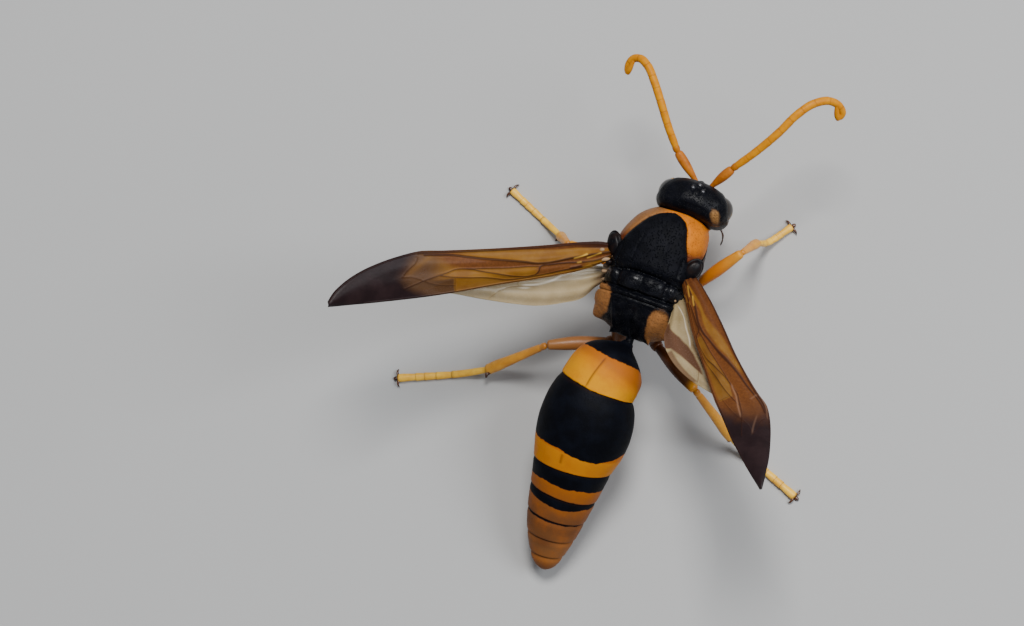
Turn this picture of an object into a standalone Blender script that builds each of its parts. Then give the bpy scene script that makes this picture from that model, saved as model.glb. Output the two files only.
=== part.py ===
"""A large potter wasp at rest, life size, with its long forewings folded lengthwise and half raised.

Frame: +X is the wasp's left, +Y its tail end, +Z up. The floor is z = 0, and the origin lies under the
middle of the whole model. Every named size below is in millimetres or degrees, and MM turns millimetres
into metres when a mesh is made.
"""

import math

import bmesh
import bpy
import numpy as np
from mathutils import Matrix, Vector

MM = 0.001
GAP = 0.3                       # clear space that neighbouring pieces keep
SLIVER = 0.006                  # thinner triangles than this are taken out of the blades
COLLECTION = "potter_wasp"

# Stance of the body over the floor
THORAX_HEIGHT = 7.0             # middle of the thorax above the floor
PITCH = 6.0                     # head end raised
ROLL = 3.0                      # left side lowered
CENTRE_X = -2.148               # moves the middle of the model's box over the origin
CENTRE_Y = -3.310

# Thorax, in the body's frame: place along the body, half width, top, bottom, squareness of the section
THORAX = (
    (-4.20, 0.75, 0.75, -0.81, 2.0),
    (-3.95, 1.15, 1.15, -1.35, 2.1),
    (-3.60, 1.66, 1.62, -1.89, 2.2),
    (-3.30, 2.00, 1.92, -2.12, 2.2),
    (-3.00, 2.22, 2.15, -2.29, 2.3),
    (-2.30, 2.51, 2.45, -2.52, 2.3),
    (-1.50, 2.72, 2.65, -2.61, 2.3),
    (-0.50, 2.82, 2.74, -2.66, 2.3),
    (0.30, 2.78, 2.70, -2.63, 2.4),
    (0.65, 2.74, 2.55, -2.61, 2.4),
    (1.15, 2.70, 2.66, -2.56, 2.5),
    (1.60, 2.70, 2.58, -2.50, 2.5),
    (1.85, 2.76, 2.40, -2.45, 2.6),
    (2.20, 2.84, 2.46, -2.34, 2.7),
    (2.60, 2.90, 2.28, -2.21, 2.8),
    (3.20, 2.82, 1.98, -1.94, 2.8),
    (3.80, 2.42, 1.50, -1.62, 2.7),
    (4.30, 1.62, 0.95, -1.08, 2.4),
    (4.65, 0.80, 0.50, -0.50, 2.0),
)
THORAX_SIDES = 28
FRONT_BEND = 0.46               # the collar follows the head to the right by this much at y = -3.6
COLLAR_REAR = ((-0.95, 4.0), (-0.95, 1.35), (-1.35, 0.35), (-2.45, -0.9), (-2.7, -4.0))   # y, z in side view
SCUTUM_FRONT = ((-3.58, 0.10), (-3.45, 0.58), (-3.25, 0.97), (-2.85, 1.33), (-2.03, 1.76), (-1.45, 2.06),
                (-1.10, 2.19))
SCUTUM_FLOOR = 0.9              # underside of the scutum where it lies over the collar
PROPODEUM_START = 2.35
SIDE_TOOTH = (2.75, 4.05, 0.25)     # tip of the tooth on each side of the propodeum
REAR_TOOTH = (1.35, 4.75, 0.35)     # tip of the small tooth beside the waist

# Head, in its own frame: x to the wasp's left, y back, z up, origin in its middle
HEAD_PLACE = (-1.00, -4.36, -0.30)
HEAD_YAW = -1.5                 # turned to the wasp's right
HEAD_NOD = 8.0                  # crown forward, mouth back
HEAD_LEAN = -5.0                # crown to the right
HEAD = (                        # height, half width, reach to the front, reach to the back
    (2.30, 0.72, 0.56, 0.34),
    (2.05, 1.50, 1.05, 0.66),
    (1.70, 1.98, 1.32, 0.88),
    (1.10, 2.28, 1.50, 1.02),
    (0.40, 2.38, 1.56, 1.05),
    (-0.40, 2.32, 1.52, 1.00),
    (-1.10, 2.08, 1.38, 0.85),
    (-1.70, 1.72, 1.15, 0.62),
    (-2.20, 1.28, 0.88, 0.38),
    (-2.50, 0.80, 0.60, 0.15),
)
HEAD_SQUARENESS = (3.0, 2.35)   # of the back and of the front of a level section
HEAD_SIDES = 28
HEAD_HOLLOW = 0.42              # depth of the hollow in the back of the head, shallower towards the crown
EYE_CENTRE = (1.66, -0.36, 0.30)
EYE_RADII = (0.78, 0.84, 1.50)
EYE_BEND = 0.32                 # how far the ends of the kidney-shaped eye turn towards the face
CLYPEUS_CENTRE = (0.0, -1.18, -1.55)
CLYPEUS_RADII = (1.12, 0.58, 1.08)
MANDIBLE = ((1.05, -0.95, -2.45), (1.12, -1.30, -3.05), (0.80, -1.62, -3.75), (0.18, -1.78, -4.30))
MANDIBLE_RADII = (0.38, 0.34, 0.27, 0.12)
SCAPE_RADIUS = 0.31
FLAGELLUM_RADIUS = 0.27
FEELER_SEGMENTS = 11

# Feelers, in a frame at the neck that is level and turned like the face: root inside the head, end of the
# scape, then the line of the flagellum out to its hook
NECK_PLACE = (-0.93, -4.56, -0.30)
NECK_YAW = -6.0
FEELERS = {
    "left": ((0.30, -1.12, 0.10),
             (2.25, -2.58, 0.78), (3.20, -3.60, 1.34), (4.37, -5.00, 1.95), (5.09, -5.80, 2.16),
             (5.98, -6.58, 2.11), (6.58, -6.80, 1.95), (7.03, -6.66, 1.76), (7.25, -6.20, 1.51),
             (7.16, -5.67, 1.29)),
    "right": ((-0.46, -1.12, 0.10),
              (-1.45, -3.04, 0.77), (-2.36, -4.41, 1.32), (-3.34, -6.22, 1.85), (-3.89, -7.59, 1.99),
              (-4.52, -8.66, 1.80), (-5.22, -9.22, 1.40), (-5.80, -9.25, 0.94), (-6.16, -8.94, 0.55),
              (-6.08, -8.50, 0.39)),
}

# Abdomen, in the body's frame: line of its axis, then distance along it and half width
ABDOMEN_AXIS = (
    (0.00, 4.95, 0.02),
    (0.42, 6.50, 0.38),
    (0.85, 8.14, 0.46),
    (0.90, 10.70, -0.10),
    (1.02, 13.20, -0.90),
    (1.12, 15.00, -1.50),
    (1.20, 16.50, -2.06),
    (1.22, 17.83, -2.60),
    (1.19, 19.08, -3.15),
    (1.11, 20.40, -3.78),
)
ABDOMEN_WIDTH = (
    (0.00, 0.34), (0.30, 0.52), (0.60, 1.00), (1.00, 1.60), (1.60, 2.15), (2.40, 2.38), (3.34, 2.45),
    (4.40, 2.80), (5.97, 3.00), (7.30, 2.86), (8.57, 2.54), (10.47, 2.20), (12.10, 1.92),
    (13.55, 1.60), (14.90, 1.14), (15.60, 0.84), (16.00, 0.52), (16.22, 0.20),
)
ABDOMEN_TOP = 0.90              # height of the back, as a part of the half width
ABDOMEN_BELLY = 0.80
ABDOMEN_SIDES = 24
SEGMENT_ENDS = (0.00, 3.34, 8.57, 10.47, 12.10, 13.55, 14.90, 16.22)
SEGMENT_STEP = 0.05             # how much narrower each segment's front rim is than the rim before it

# Wings, in a plane of their own: u runs from the hinge to the tip, v from the front edge to the back edge
HINGE = (3.10, 0.12, 1.42)
WINGS = {                       # raised, swept back, twist of the blade, and the hinge's shift along v
    "left": (26.0, 33.6, -25.0, 0.05),
    "right": (34.6, 47.0, 15.0, 0.42),
}
FOREWING_EDGES = {              # distance from the hinge, front edge, back edge
    "left": (
        (-0.75, -0.45, 0.42), (0.00, -0.70, 0.60), (1.30, -0.88, 0.84), (3.90, -1.05, 0.98),
        (7.20, -1.33, 0.98), (10.50, -1.68, 1.04), (12.20, -1.87, 1.02), (13.30, -1.77, 0.98),
        (14.60, -1.55, 0.92), (15.90, -1.19, 0.85), (16.60, -0.90, 0.80), (17.30, -0.50, 0.76),
        (17.85, -0.06, 0.73), (18.20, 0.38, 0.70),
    ),
    "right": (
        (-0.75, -0.42, 0.40), (0.00, -0.62, 0.50), (1.30, -0.80, 0.66), (3.90, -0.94, 0.98),
        (7.20, -1.00, 1.18), (10.50, -1.32, 1.33), (11.60, -1.50, 1.30), (12.50, -1.40, 1.29),
        (13.60, -1.14, 1.28), (14.60, -0.82, 1.20), (15.90, -0.33, 1.10), (16.80, 0.10, 1.00),
        (17.55, 0.46, 0.90), (18.08, 0.74, 0.84),
    ),
}
HINDWING_EDGES = {
    "left": (
        (-0.90, 1.20, 1.75), (0.30, 0.95, 1.85), (1.20, 0.72, 2.40), (2.60, 0.55, 2.84), (4.20, 0.45, 2.98),
        (5.90, 0.38, 2.60), (7.20, 0.34, 2.18), (8.40, 0.32, 1.80), (9.50, 0.38, 1.42), (10.50, 0.55, 1.12),
        (11.00, 0.70, 0.95),
    ),
    "right": (
        (-0.90, 0.60, 1.00), (0.10, 0.45, 1.18), (1.20, 0.40, 1.62), (2.00, 0.40, 2.05), (2.70, 0.40, 2.44),
        (3.60, 0.38, 2.66), (4.70, 0.36, 2.66), (5.70, 0.34, 2.48), (6.60, 0.33, 2.18), (7.30, 0.34, 1.85),
        (7.90, 0.36, 1.50), (8.50, 0.42, 1.12), (9.00, 0.50, 0.85),
    ),
}
WING_THICKNESS = 0.70           # over a vein
MEMBRANE_PART = 0.72            # thickness of the membrane, as a part of that
HINDWING_DROP = 1.05            # how far the hindwing lies under the forewing
WING_CAMBER = 0.22
FORE_ROWS = (0.0, 0.09, 0.24, 0.33, 0.42, 0.57, 0.66, 0.75, 1.0)
FORE_VEINS = (0.0, 0.33, 0.66, 1.0)
HIND_ROWS = (0.0, 0.14, 0.40, 0.50, 0.60, 0.85, 1.0)
HIND_VEINS = (0.0, 0.50)

# Tegula, the cap over a wing's root
TEGULA_CENTRE = (2.60, -0.60, 1.50)
TEGULA_RADII = (0.58, 0.84, 0.40)
TEGULA_TURN = 22.0              # about z, its front end outwards
TEGULA_TILT = 28.0              # about y, its outer edge down

# Legs. The coxa's two ends are in the body's frame, and knee, ankle, bend and toe stand over the floor.
LEGS = {
    "front_left": ((0.80, -2.55, -1.9), (1.15, -2.25, -3.40),
                   (1.10, -5.40, 4.40), (1.50, -3.80, 1.30), (1.62, -4.55, 0.42), (1.95, -6.85, 0.20)),
    "front_right": ((-0.80, -2.55, -1.9), (-1.15, -2.25, -3.40),
                    (-2.10, -5.20, 4.20), (-1.08, -3.87, 1.30), (-1.02, -4.60, 0.42), (-1.10, -6.75, 0.20)),
    "mid_left": ((0.95, 0.20, -1.9), (1.90, 0.55, -3.40),
                 (6.10, 0.05, 4.85), (7.52, -0.80, 0.95), (8.55, -1.27, 0.42), (11.72, -2.69, 0.20)),
    "mid_right": ((-0.95, 0.35, -1.9), (-1.75, 0.75, -3.35),
                  (-4.75, -2.75, 6.50), (-4.92, -4.24, 2.60), (-5.42, -4.92, 0.60), (-6.38, -6.35, 0.20)),
    "hind_left": ((0.85, 2.95, -1.5), (1.25, 5.05, -2.75),
                  (5.16, 6.58, 4.60), (8.95, 9.03, 0.95), (10.30, 9.65, 0.42), (14.45, 11.42, 0.20)),
    "hind_right": ((-0.80, 2.95, -1.5), (-0.88, 4.35, -2.75),
                   (-4.94, 6.35, 6.50), (-7.56, 7.98, 1.50), (-8.90, 8.60, 0.50), (-12.47, 10.04, 0.20)),
}
LEG_SIZE = {"front": 0.90, "mid": 1.0, "hind": 1.10}
COXA_RADII = (0.78, 0.80, 0.66, 0.38)
FEMUR_RADII = (0.27, 0.32, 0.38, 0.41, 0.39, 0.34, 0.28)
TIBIA_RADII = (0.25, 0.27, 0.29, 0.31, 0.34, 0.31)
TARSUS_RADIUS = 0.25
TARSUS_SEGMENTS = 5

# Colours
ORANGE = (0.80, 0.30, 0.03)
DEEP_ORANGE = (0.62, 0.20, 0.02)
YELLOW_ORANGE = (0.86, 0.42, 0.04)
BLACK = (0.010, 0.011, 0.014)
BROWN = (0.12, 0.04, 0.015)
AMBER = (0.42, 0.19, 0.05)
PALE_MEMBRANE = (0.55, 0.45, 0.30)
EYE_GREY = (0.10, 0.08, 0.06)


def clear_scene():
    for obj in list(bpy.data.objects):
        bpy.data.objects.remove(obj, do_unlink=True)


def make_collection(name):
    collection = bpy.data.collections.new(name)
    bpy.context.scene.collection.children.link(collection)
    return collection


def make_material(name, colour, roughness, metallic=0.0):
    material = bpy.data.materials.new(name)
    material.use_nodes = True
    shader = material.node_tree.nodes["Principled BSDF"]
    shader.inputs["Base Color"].default_value = (*colour, 1.0)
    shader.inputs["Roughness"].default_value = roughness
    shader.inputs["Metallic"].default_value = metallic
    return material


def make_empty(name, collection, parent=None, matrix=None):
    empty = bpy.data.objects.new(name, None)
    collection.objects.link(empty)
    empty.parent = parent
    empty.matrix_local = matrix or Matrix()
    return empty


class Frame:
    """A place that pieces are built in: its empty, and its turn and place in millimetres as arrays."""

    def __init__(self, empty, turn, place):
        self.empty = empty
        self.turn = np.array(turn)
        self.place = np.array(place)

    def out(self, point):
        """A point of this frame, as the floor's frame gives it."""
        return self.turn @ np.array(point) + self.place


def turn_about(axis, degrees):
    return Matrix.Rotation(math.radians(degrees), 3, axis)


def frame_on(parent, name, turn, place, collection):
    """A frame that stands in another one, turned and moved."""
    move = Matrix.Translation([value * MM for value in place]) @ turn.to_4x4()
    empty = make_empty(name, collection, parent.empty, move)
    return Frame(empty, parent.turn @ np.array(turn), parent.out(place))


def make_frames(collection):
    """The floor's frame, the body's frame over it, and the frames of the head and of the neck on the body."""
    middle = Matrix.Translation((CENTRE_X * MM, CENTRE_Y * MM, 0.0))
    floor_empty = make_empty("floor_frame", collection, None, middle)
    floor = Frame(floor_empty, np.eye(3), (0.0, 0.0, 0.0))
    body_turn = turn_about("X", -PITCH) @ turn_about("Y", ROLL)
    body = frame_on(floor, "body_frame", body_turn, (0.0, 0.0, THORAX_HEIGHT), collection)
    head_turn = turn_about("Z", HEAD_YAW) @ turn_about("Y", HEAD_LEAN) @ turn_about("X", HEAD_NOD)
    head = frame_on(body, "head_frame", head_turn, HEAD_PLACE, collection)
    neck = frame_on(body, "neck_frame", turn_about("Z", NECK_YAW), NECK_PLACE, collection)
    return floor, body, head, neck


def smooth_values(table, at):
    """Values at the places AT, on smooth curves through a table whose first column is the place."""
    data = np.array(table, dtype=float)
    place = data[:, 0]
    at = np.clip(np.asarray(at, dtype=float), place[0], place[-1])
    slopes = np.gradient(data[:, 1:], place, axis=0)
    low = np.clip(np.searchsorted(place, at, side="right") - 1, 0, len(place) - 2)
    step = (place[low + 1] - place[low])[:, None]
    t = ((at - place[low]) / step[:, 0])[:, None]
    start, end = data[low, 1:], data[low + 1, 1:]
    return (start * (1 + 2 * t) * (1 - t) ** 2 + end * t * t * (3 - 2 * t)
            + slopes[low] * step * t * (1 - t) ** 2 - slopes[low + 1] * step * t * t * (1 - t))


def smooth_path(points, count):
    """COUNT points at even distances on a smooth line through POINTS."""
    points = np.array(points, dtype=float)
    reach = np.concatenate([[0.0], np.cumsum(np.linalg.norm(np.diff(points, axis=0), axis=1))])
    table = np.column_stack([reach, points])
    return smooth_values(table, np.linspace(0.0, reach[-1], count))


def oval(width, top, bottom, squareness, sides):
    """Across and up coordinates of a rounded section: |x / width|^s + |z / height|^s = 1.

    The squareness s is one number, or a pair for the upper and the lower half.
    """
    angle = np.arange(sides) * 2 * math.pi / sides
    across = np.cos(angle)
    up = np.sin(angle)
    upper, lower = np.broadcast_to(squareness, 2)
    power = 2.0 / np.where(up >= 0, upper, lower)
    x = width * np.sign(across) * np.abs(across) ** power
    height = np.where(up >= 0, top, bottom)
    z = height * np.sign(up) * np.abs(up) ** power
    return x, z


def place_mesh(name, mesh, frame, collection, material=None):
    obj = bpy.data.objects.new(name, mesh)
    collection.objects.link(obj)
    obj.parent = frame.empty
    if material:
        mesh.materials.append(material)
    return obj


def finish_faces(mesh, triangulate=False):
    """Faces all outwards, smooth where the surface is smooth."""
    bm = bmesh.new()
    bm.from_mesh(mesh)
    bmesh.ops.recalc_face_normals(bm, faces=bm.faces)
    if triangulate:
        bmesh.ops.triangulate(bm, faces=bm.faces)
    bm.to_mesh(mesh)
    bm.free()
    mesh.shade_smooth()
    mesh.set_sharp_from_angle(angle=math.radians(50))


def loft(name, rings, frame, collection, material=None):
    """A closed skin over a stack of like rings, with a fan of faces to the middle of each end ring."""
    stack = np.asarray(rings, dtype=float)
    levels, sides, _ = stack.shape
    poles = [stack[0].mean(axis=0), stack[-1].mean(axis=0)]
    points = np.vstack([stack.reshape(-1, 3), poles]) * MM
    faces = []
    for level in range(levels - 1):
        for side in range(sides):
            here = level * sides + side
            beside = level * sides + (side + 1) % sides
            faces.append((here, beside, beside + sides, here + sides))
    for side in range(sides):
        beside = (side + 1) % sides
        last = (levels - 1) * sides
        faces.append((levels * sides, beside, side))
        faces.append((levels * sides + 1, last + side, last + beside))
    mesh = bpy.data.meshes.new(name)
    mesh.from_pydata(points.tolist(), [], faces)
    finish_faces(mesh)
    return place_mesh(name, mesh, frame, collection, material)


def ball(name, centre, radii, frame, collection, material=None, grow=0.0, across=20, up=12, bend=0.0,
         turn=None):
    """An egg shape, turned about its middle. A bend moves its two ends towards the middle plane x = 0."""
    bm = bmesh.new()
    bmesh.ops.create_uvsphere(bm, u_segments=across, v_segments=up, radius=1.0)
    side = math.copysign(1.0, centre[0])
    for vert in bm.verts:
        height = vert.co.z
        size = Vector([(radius + grow) * value for radius, value in zip(radii, vert.co)])
        size = turn @ size if turn else size
        shift = (-side * bend * height * height, 0.0, 0.0)
        vert.co = [(a + b + c) * MM for a, b, c in zip(centre, size, shift)]
    mesh = bpy.data.meshes.new(name)
    bm.to_mesh(mesh)
    bm.free()
    finish_faces(mesh)
    return place_mesh(name, mesh, frame, collection, material)


def prism(name, outline, start, end, axis, frame, collection):
    """A straight prism over an outline: the outline's pair is (y, z) along x, or (x, y) along z."""
    curve = bpy.data.curves.new(name, "CURVE")
    curve.dimensions = "2D"
    curve.fill_mode = "BOTH"
    curve.extrude = (end - start) / 2 * MM
    spline = curve.splines.new("POLY")
    spline.points.add(len(outline) - 1)
    for point, (a, b) in zip(spline.points, outline):
        point.co = (a * MM, b * MM, 0.0, 1.0)
    spline.use_cyclic_u = True
    obj = bpy.data.objects.new(name, curve)
    collection.objects.link(obj)
    obj.parent = frame.empty
    middle = (start + end) / 2 * MM
    if axis == "x":
        columns = Matrix(((0, 0, 1), (1, 0, 0), (0, 1, 0))).to_4x4()
        obj.matrix_local = Matrix.Translation((middle, 0.0, 0.0)) @ columns
    else:
        obj.matrix_local = Matrix.Translation((0.0, 0.0, middle))
    return curve_to_mesh(obj)


def curve_to_mesh(obj):
    """The curve's surface as a mesh with welded caps, in the same place, in the curve's stead."""
    bpy.context.view_layer.update()
    evaluated = obj.evaluated_get(bpy.context.evaluated_depsgraph_get())
    mesh = bpy.data.meshes.new_from_object(evaluated)
    bm = bmesh.new()
    bm.from_mesh(mesh)
    bmesh.ops.remove_doubles(bm, verts=bm.verts, dist=1e-7)
    bmesh.ops.recalc_face_normals(bm, faces=bm.faces)
    bm.to_mesh(mesh)
    bm.free()
    name = obj.name
    parent = obj.parent
    world = obj.matrix_world.copy()
    collection = obj.users_collection[0]
    bpy.data.objects.remove(obj, do_unlink=True)
    new = bpy.data.objects.new(name, mesh)
    collection.objects.link(new)
    new.parent = parent
    bpy.context.view_layer.update()
    new.matrix_world = world
    new.name = name
    mesh.name = name
    return new


def limb(name, points, radii, frame, collection, material=None, resolution=2):
    """A round tube through POINTS whose thickness follows RADII."""
    largest = max(radii)
    curve = bpy.data.curves.new(name, "CURVE")
    curve.dimensions = "3D"
    curve.bevel_depth = largest * MM
    curve.bevel_resolution = resolution
    curve.use_fill_caps = True
    spline = curve.splines.new("POLY")
    spline.points.add(len(points) - 1)
    for point, place, radius in zip(spline.points, points, radii):
        point.co = (*[value * MM for value in place], 1.0)
        point.radius = radius / largest
    obj = bpy.data.objects.new(name, curve)
    collection.objects.link(obj)
    obj.parent = frame.empty
    mesh_object = curve_to_mesh(obj)
    if material:
        mesh_object.data.materials.append(material)
    mesh_object.data.shade_smooth()
    mesh_object.data.set_sharp_from_angle(angle=math.radians(50))
    return mesh_object


def bake(obj):
    """Applies the object's modifiers and keeps only its largest closed surface."""
    bpy.context.view_layer.update()
    evaluated = obj.evaluated_get(bpy.context.evaluated_depsgraph_get())
    mesh = bpy.data.meshes.new_from_object(evaluated)
    obj.modifiers.clear()
    bm = bmesh.new()
    bm.from_mesh(mesh)
    bmesh.ops.remove_doubles(bm, verts=bm.verts, dist=2e-7)
    keep_largest(bm)
    bm.to_mesh(mesh)
    bm.free()
    old = obj.data
    obj.data = mesh
    bpy.data.meshes.remove(old)
    mesh.name = obj.name
    mesh.shade_smooth()
    mesh.set_sharp_from_angle(angle=math.radians(50))


def keep_largest(bm):
    """Removes every surface but the one that holds the most space."""
    left = set(bm.faces)
    shells = []
    while left:
        shell = {left.pop()}
        edge_of_shell = list(shell)
        while edge_of_shell:
            face = edge_of_shell.pop()
            for edge in face.edges:
                for beside in edge.link_faces:
                    if beside in left:
                        left.remove(beside)
                        shell.add(beside)
                        edge_of_shell.append(beside)
        shells.append(shell)
    if len(shells) < 2:
        return
    sizes = [abs(shell_volume(shell)) for shell in shells]
    kept = shells[sizes.index(max(sizes))]
    spare = [face for face in bm.faces if face not in kept]
    bmesh.ops.delete(bm, geom=spare, context="FACES")
    loose = [vert for vert in bm.verts if not vert.link_faces]
    bmesh.ops.delete(bm, geom=loose, context="VERTS")


def shell_volume(faces):
    total = 0.0
    for face in faces:
        corners = [vert.co for vert in face.verts]
        for second, third in zip(corners[1:-1], corners[2:]):
            total += corners[0].dot(second.cross(third)) / 6.0
    return total


def combine(obj, other, operation, solver="EXACT"):
    """A Boolean of OBJ with OTHER, applied at once. The other object is used up."""
    modifier = obj.modifiers.new(operation.lower(), "BOOLEAN")
    modifier.operation = operation
    modifier.object = other
    modifier.solver = solver
    bake(obj)
    bpy.data.objects.remove(other, do_unlink=True)


def drop_slivers(obj):
    """Takes out the needle-thin triangles that the cuts leave along a thin blade."""
    bm = bmesh.new()
    bm.from_mesh(obj.data)
    bmesh.ops.triangulate(bm, faces=bm.faces)
    bmesh.ops.dissolve_degenerate(bm, dist=SLIVER * MM, edges=bm.edges)
    bmesh.ops.triangulate(bm, faces=bm.faces)
    bm.to_mesh(obj.data)
    bm.free()
    finish_faces(obj.data)


def shifted(points, first=0.0, second=0.0):
    return [(a + first, b + second) for a, b in points]


def front_bend(place):
    """How far the front of the thorax is bent to the right at a place along the body."""
    return FRONT_BEND * (max(-0.9 - place, 0.0) / 2.7) ** 1.8


def thorax_form(name, grow, frame, collection, material=None):
    """The whole thorax, GROW larger on every side, as one loft along the body."""
    rings = []
    for place, width, top, bottom, squareness in THORAX:
        x, z = oval(width + grow, top + grow, -bottom + grow, squareness, THORAX_SIDES)
        rings.append(np.column_stack([x - front_bend(place), np.full_like(x, place), z]))
    rings = np.array(rings)
    rings[0, :, 1] -= grow
    rings[-1, :, 1] += grow
    return loft(name, rings, frame, collection, material)


def head_form(name, grow, frame, collection, material=None):
    """The head, GROW larger on every side: bean-shaped level sections, hollow at the back."""
    rings = []
    for height, width, front, back in HEAD:
        x, y = oval(width + grow, back + grow, front + grow, HEAD_SQUARENESS, HEAD_SIDES)
        hollow = HEAD_HOLLOW * np.exp(-(x / 1.15) ** 2)
        hollow *= np.interp(height, (0.9, 1.8), (1.0, 0.25))
        y = np.where(y > 0, y - hollow * np.clip(y / (back + grow), 0, 1), y)
        rings.append(np.column_stack([x, y, np.full_like(x, height)]))
    rings = np.array(rings)
    rings[0, :, 2] += grow
    rings[-1, :, 2] -= grow
    return loft(name, rings, frame, collection, material)


def scutum_outline(margin):
    """The scutum's tongue from above, MARGIN wider all round, down to where it joins the rest."""
    half_widths = [(place - margin, max(half + margin, 0.02)) for place, half in SCUTUM_FRONT]
    right = [(-half - front_bend(place), place) for place, half in half_widths]
    left = [(half - front_bend(place), place) for place, half in half_widths]
    return [(-2.45, -0.2)] + right[::-1] + left + [(2.45, -0.2)]


def make_pronotum(frame, cutters, collection, material, head_frame):
    """The orange collar: the front of the thorax, open on top for the scutum and cut back for the head."""
    collar = thorax_form("pronotum", 0.0, frame, collection, material)
    profile = shifted(COLLAR_REAR, -GAP / 2) + [(-7.0, -4.0), (-7.0, 4.0)]
    combine(collar, prism("collar_zone", profile, -5.0, 5.0, "x", frame, cutters), "INTERSECT")
    tongue = prism("tongue_room", scutum_outline(GAP / 2), SCUTUM_FLOOR - GAP / 2, 5.0, "z", frame, cutters)
    combine(collar, tongue, "DIFFERENCE", "MANIFOLD")
    combine(collar, head_form("head_room", GAP, head_frame, cutters), "DIFFERENCE", "MANIFOLD")
    return collar


def make_mesothorax(frame, cutters, collection, material):
    """The middle of the thorax with the scutum and scutellum."""
    middle = thorax_form("mesothorax", 0.0, frame, collection, material)
    profile = shifted(COLLAR_REAR, GAP / 2) + [(-7.0, -4.0), (-7.0, 4.0)]
    front = prism("front_zone", profile, -5.0, 5.0, "x", frame, cutters)
    tongue = prism("tongue", scutum_outline(-GAP / 2), SCUTUM_FLOOR + GAP / 2, 5.0, "z", frame, cutters)
    combine(front, tongue, "DIFFERENCE")
    combine(middle, front, "DIFFERENCE")
    tail = prism("tail_zone", block_outline(PROPODEUM_START - GAP / 2, 7.0), -5.0, 5.0, "z", frame, cutters)
    combine(middle, tail, "DIFFERENCE")
    return middle


def make_propodeum(frame, cutters, collection, material):
    """The sloping rear of the thorax, with a tooth on each side and a small one beside the waist."""
    rear = thorax_form("propodeum", 0.0, frame, collection, material)
    front = prism("fore_zone", block_outline(-7.0, PROPODEUM_START + GAP / 2), -5.0, 5.0, "z", frame, cutters)
    combine(rear, front, "DIFFERENCE")
    for side in (1, -1):
        teeth = ((SIDE_TOOTH, (1.7, 3.45, 0.35), 0.52), (REAR_TOOTH, (0.9, 4.1, 0.1), 0.34))
        for (x, y, z), root, radius in teeth:
            points = [(side * root[0], root[1], root[2]), (side * x, y, z)]
            tooth = limb("tooth", points, (radius, 0.08), frame, cutters)
            combine(rear, tooth, "UNION")
    return rear


def block_outline(front, back):
    return [(-5.0, front), (5.0, front), (5.0, back), (-5.0, back)]


def make_head(frame, cutters, collection, materials):
    """The head with its eyes and clypeus set into it, the mandibles under it."""
    head = head_form("head", 0.0, frame, collection, materials["head"])
    for side, word in ((1, "left"), (-1, "right")):
        centre = (side * EYE_CENTRE[0], EYE_CENTRE[1], EYE_CENTRE[2])
        ball(f"eye_{word}", centre, EYE_RADII, frame, collection, materials["eye"], bend=EYE_BEND)
        room = ball("eye_room", centre, EYE_RADII, frame, cutters, grow=GAP, bend=EYE_BEND)
        combine(head, room, "DIFFERENCE")
    ball("clypeus", CLYPEUS_CENTRE, CLYPEUS_RADII, frame, collection, materials["orange"])
    combine(head, ball("clypeus_room", CLYPEUS_CENTRE, CLYPEUS_RADII, frame, cutters, grow=GAP), "DIFFERENCE")
    for side, word in ((1, "left"), (-1, "right")):
        line = smooth_path([(side * x, y, z) for x, y, z in MANDIBLE], 7)
        radii = np.interp(np.linspace(0, 1, 7), np.linspace(0, 1, len(MANDIBLE_RADII)), MANDIBLE_RADII)
        jaw = limb(f"mandible_{word}", line, radii, frame, collection, materials["brown"])
        combine(jaw, head_form("jaw_room", GAP, frame, cutters), "DIFFERENCE")
        combine(jaw, ball("face_room", CLYPEUS_CENTRE, CLYPEUS_RADII, frame, cutters, grow=GAP), "DIFFERENCE")
    return head


def make_feelers(frame, cutters, collection, materials, head_frame):
    """Each feeler: a straight scape from its socket, and a flagellum of short segments to a hooked end."""
    for word, (root, *line) in FEELERS.items():
        socket = np.array(root)
        elbow = np.array(line[0])
        path = smooth_path((socket, socket + (elbow - socket) * 0.5, elbow), 6)
        radii = SCAPE_RADIUS * np.array((0.70, 0.80, 0.92, 1.0, 1.0, 0.85))
        scape = limb(f"scape_{word}", path, radii, frame, collection, materials["deep"])
        combine(scape, head_form("socket_room", GAP, head_frame, cutters), "DIFFERENCE")
        start = elbow + GAP * unit(np.array(line[1]) - elbow)
        count = 2 * FEELER_SEGMENTS + 4
        path = smooth_path((start, *line[1:]), count)
        along = np.linspace(0.0, 1.0, count)
        swell = np.interp(along, (0.0, 0.05, 0.3, 0.75, 0.9, 1.0), (0.85, 0.92, 0.97, 1.0, 0.94, 0.55))
        waist = 1.0 - 0.05 * (np.arange(count) % 2)
        radii = FLAGELLUM_RADIUS * swell * waist
        limb(f"flagellum_{word}", path, radii, frame, collection, materials["yellow"])


def unit(vector):
    vector = np.asarray(vector, dtype=float)
    return vector / np.linalg.norm(vector)


def abdomen_axis(at):
    """Place and direction of the abdomen's axis at the distances AT from the waist."""
    points = np.array(ABDOMEN_AXIS)
    reach = np.concatenate([[0.0], np.cumsum(np.linalg.norm(np.diff(points, axis=0), axis=1))])
    table = np.column_stack([reach, points])
    at = np.asarray(at, dtype=float)
    place = smooth_values(table, at)
    ahead = smooth_values(table, at + 0.05) - smooth_values(table, at - 0.05)
    return place, ahead / np.linalg.norm(ahead, axis=1)[:, None]


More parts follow.
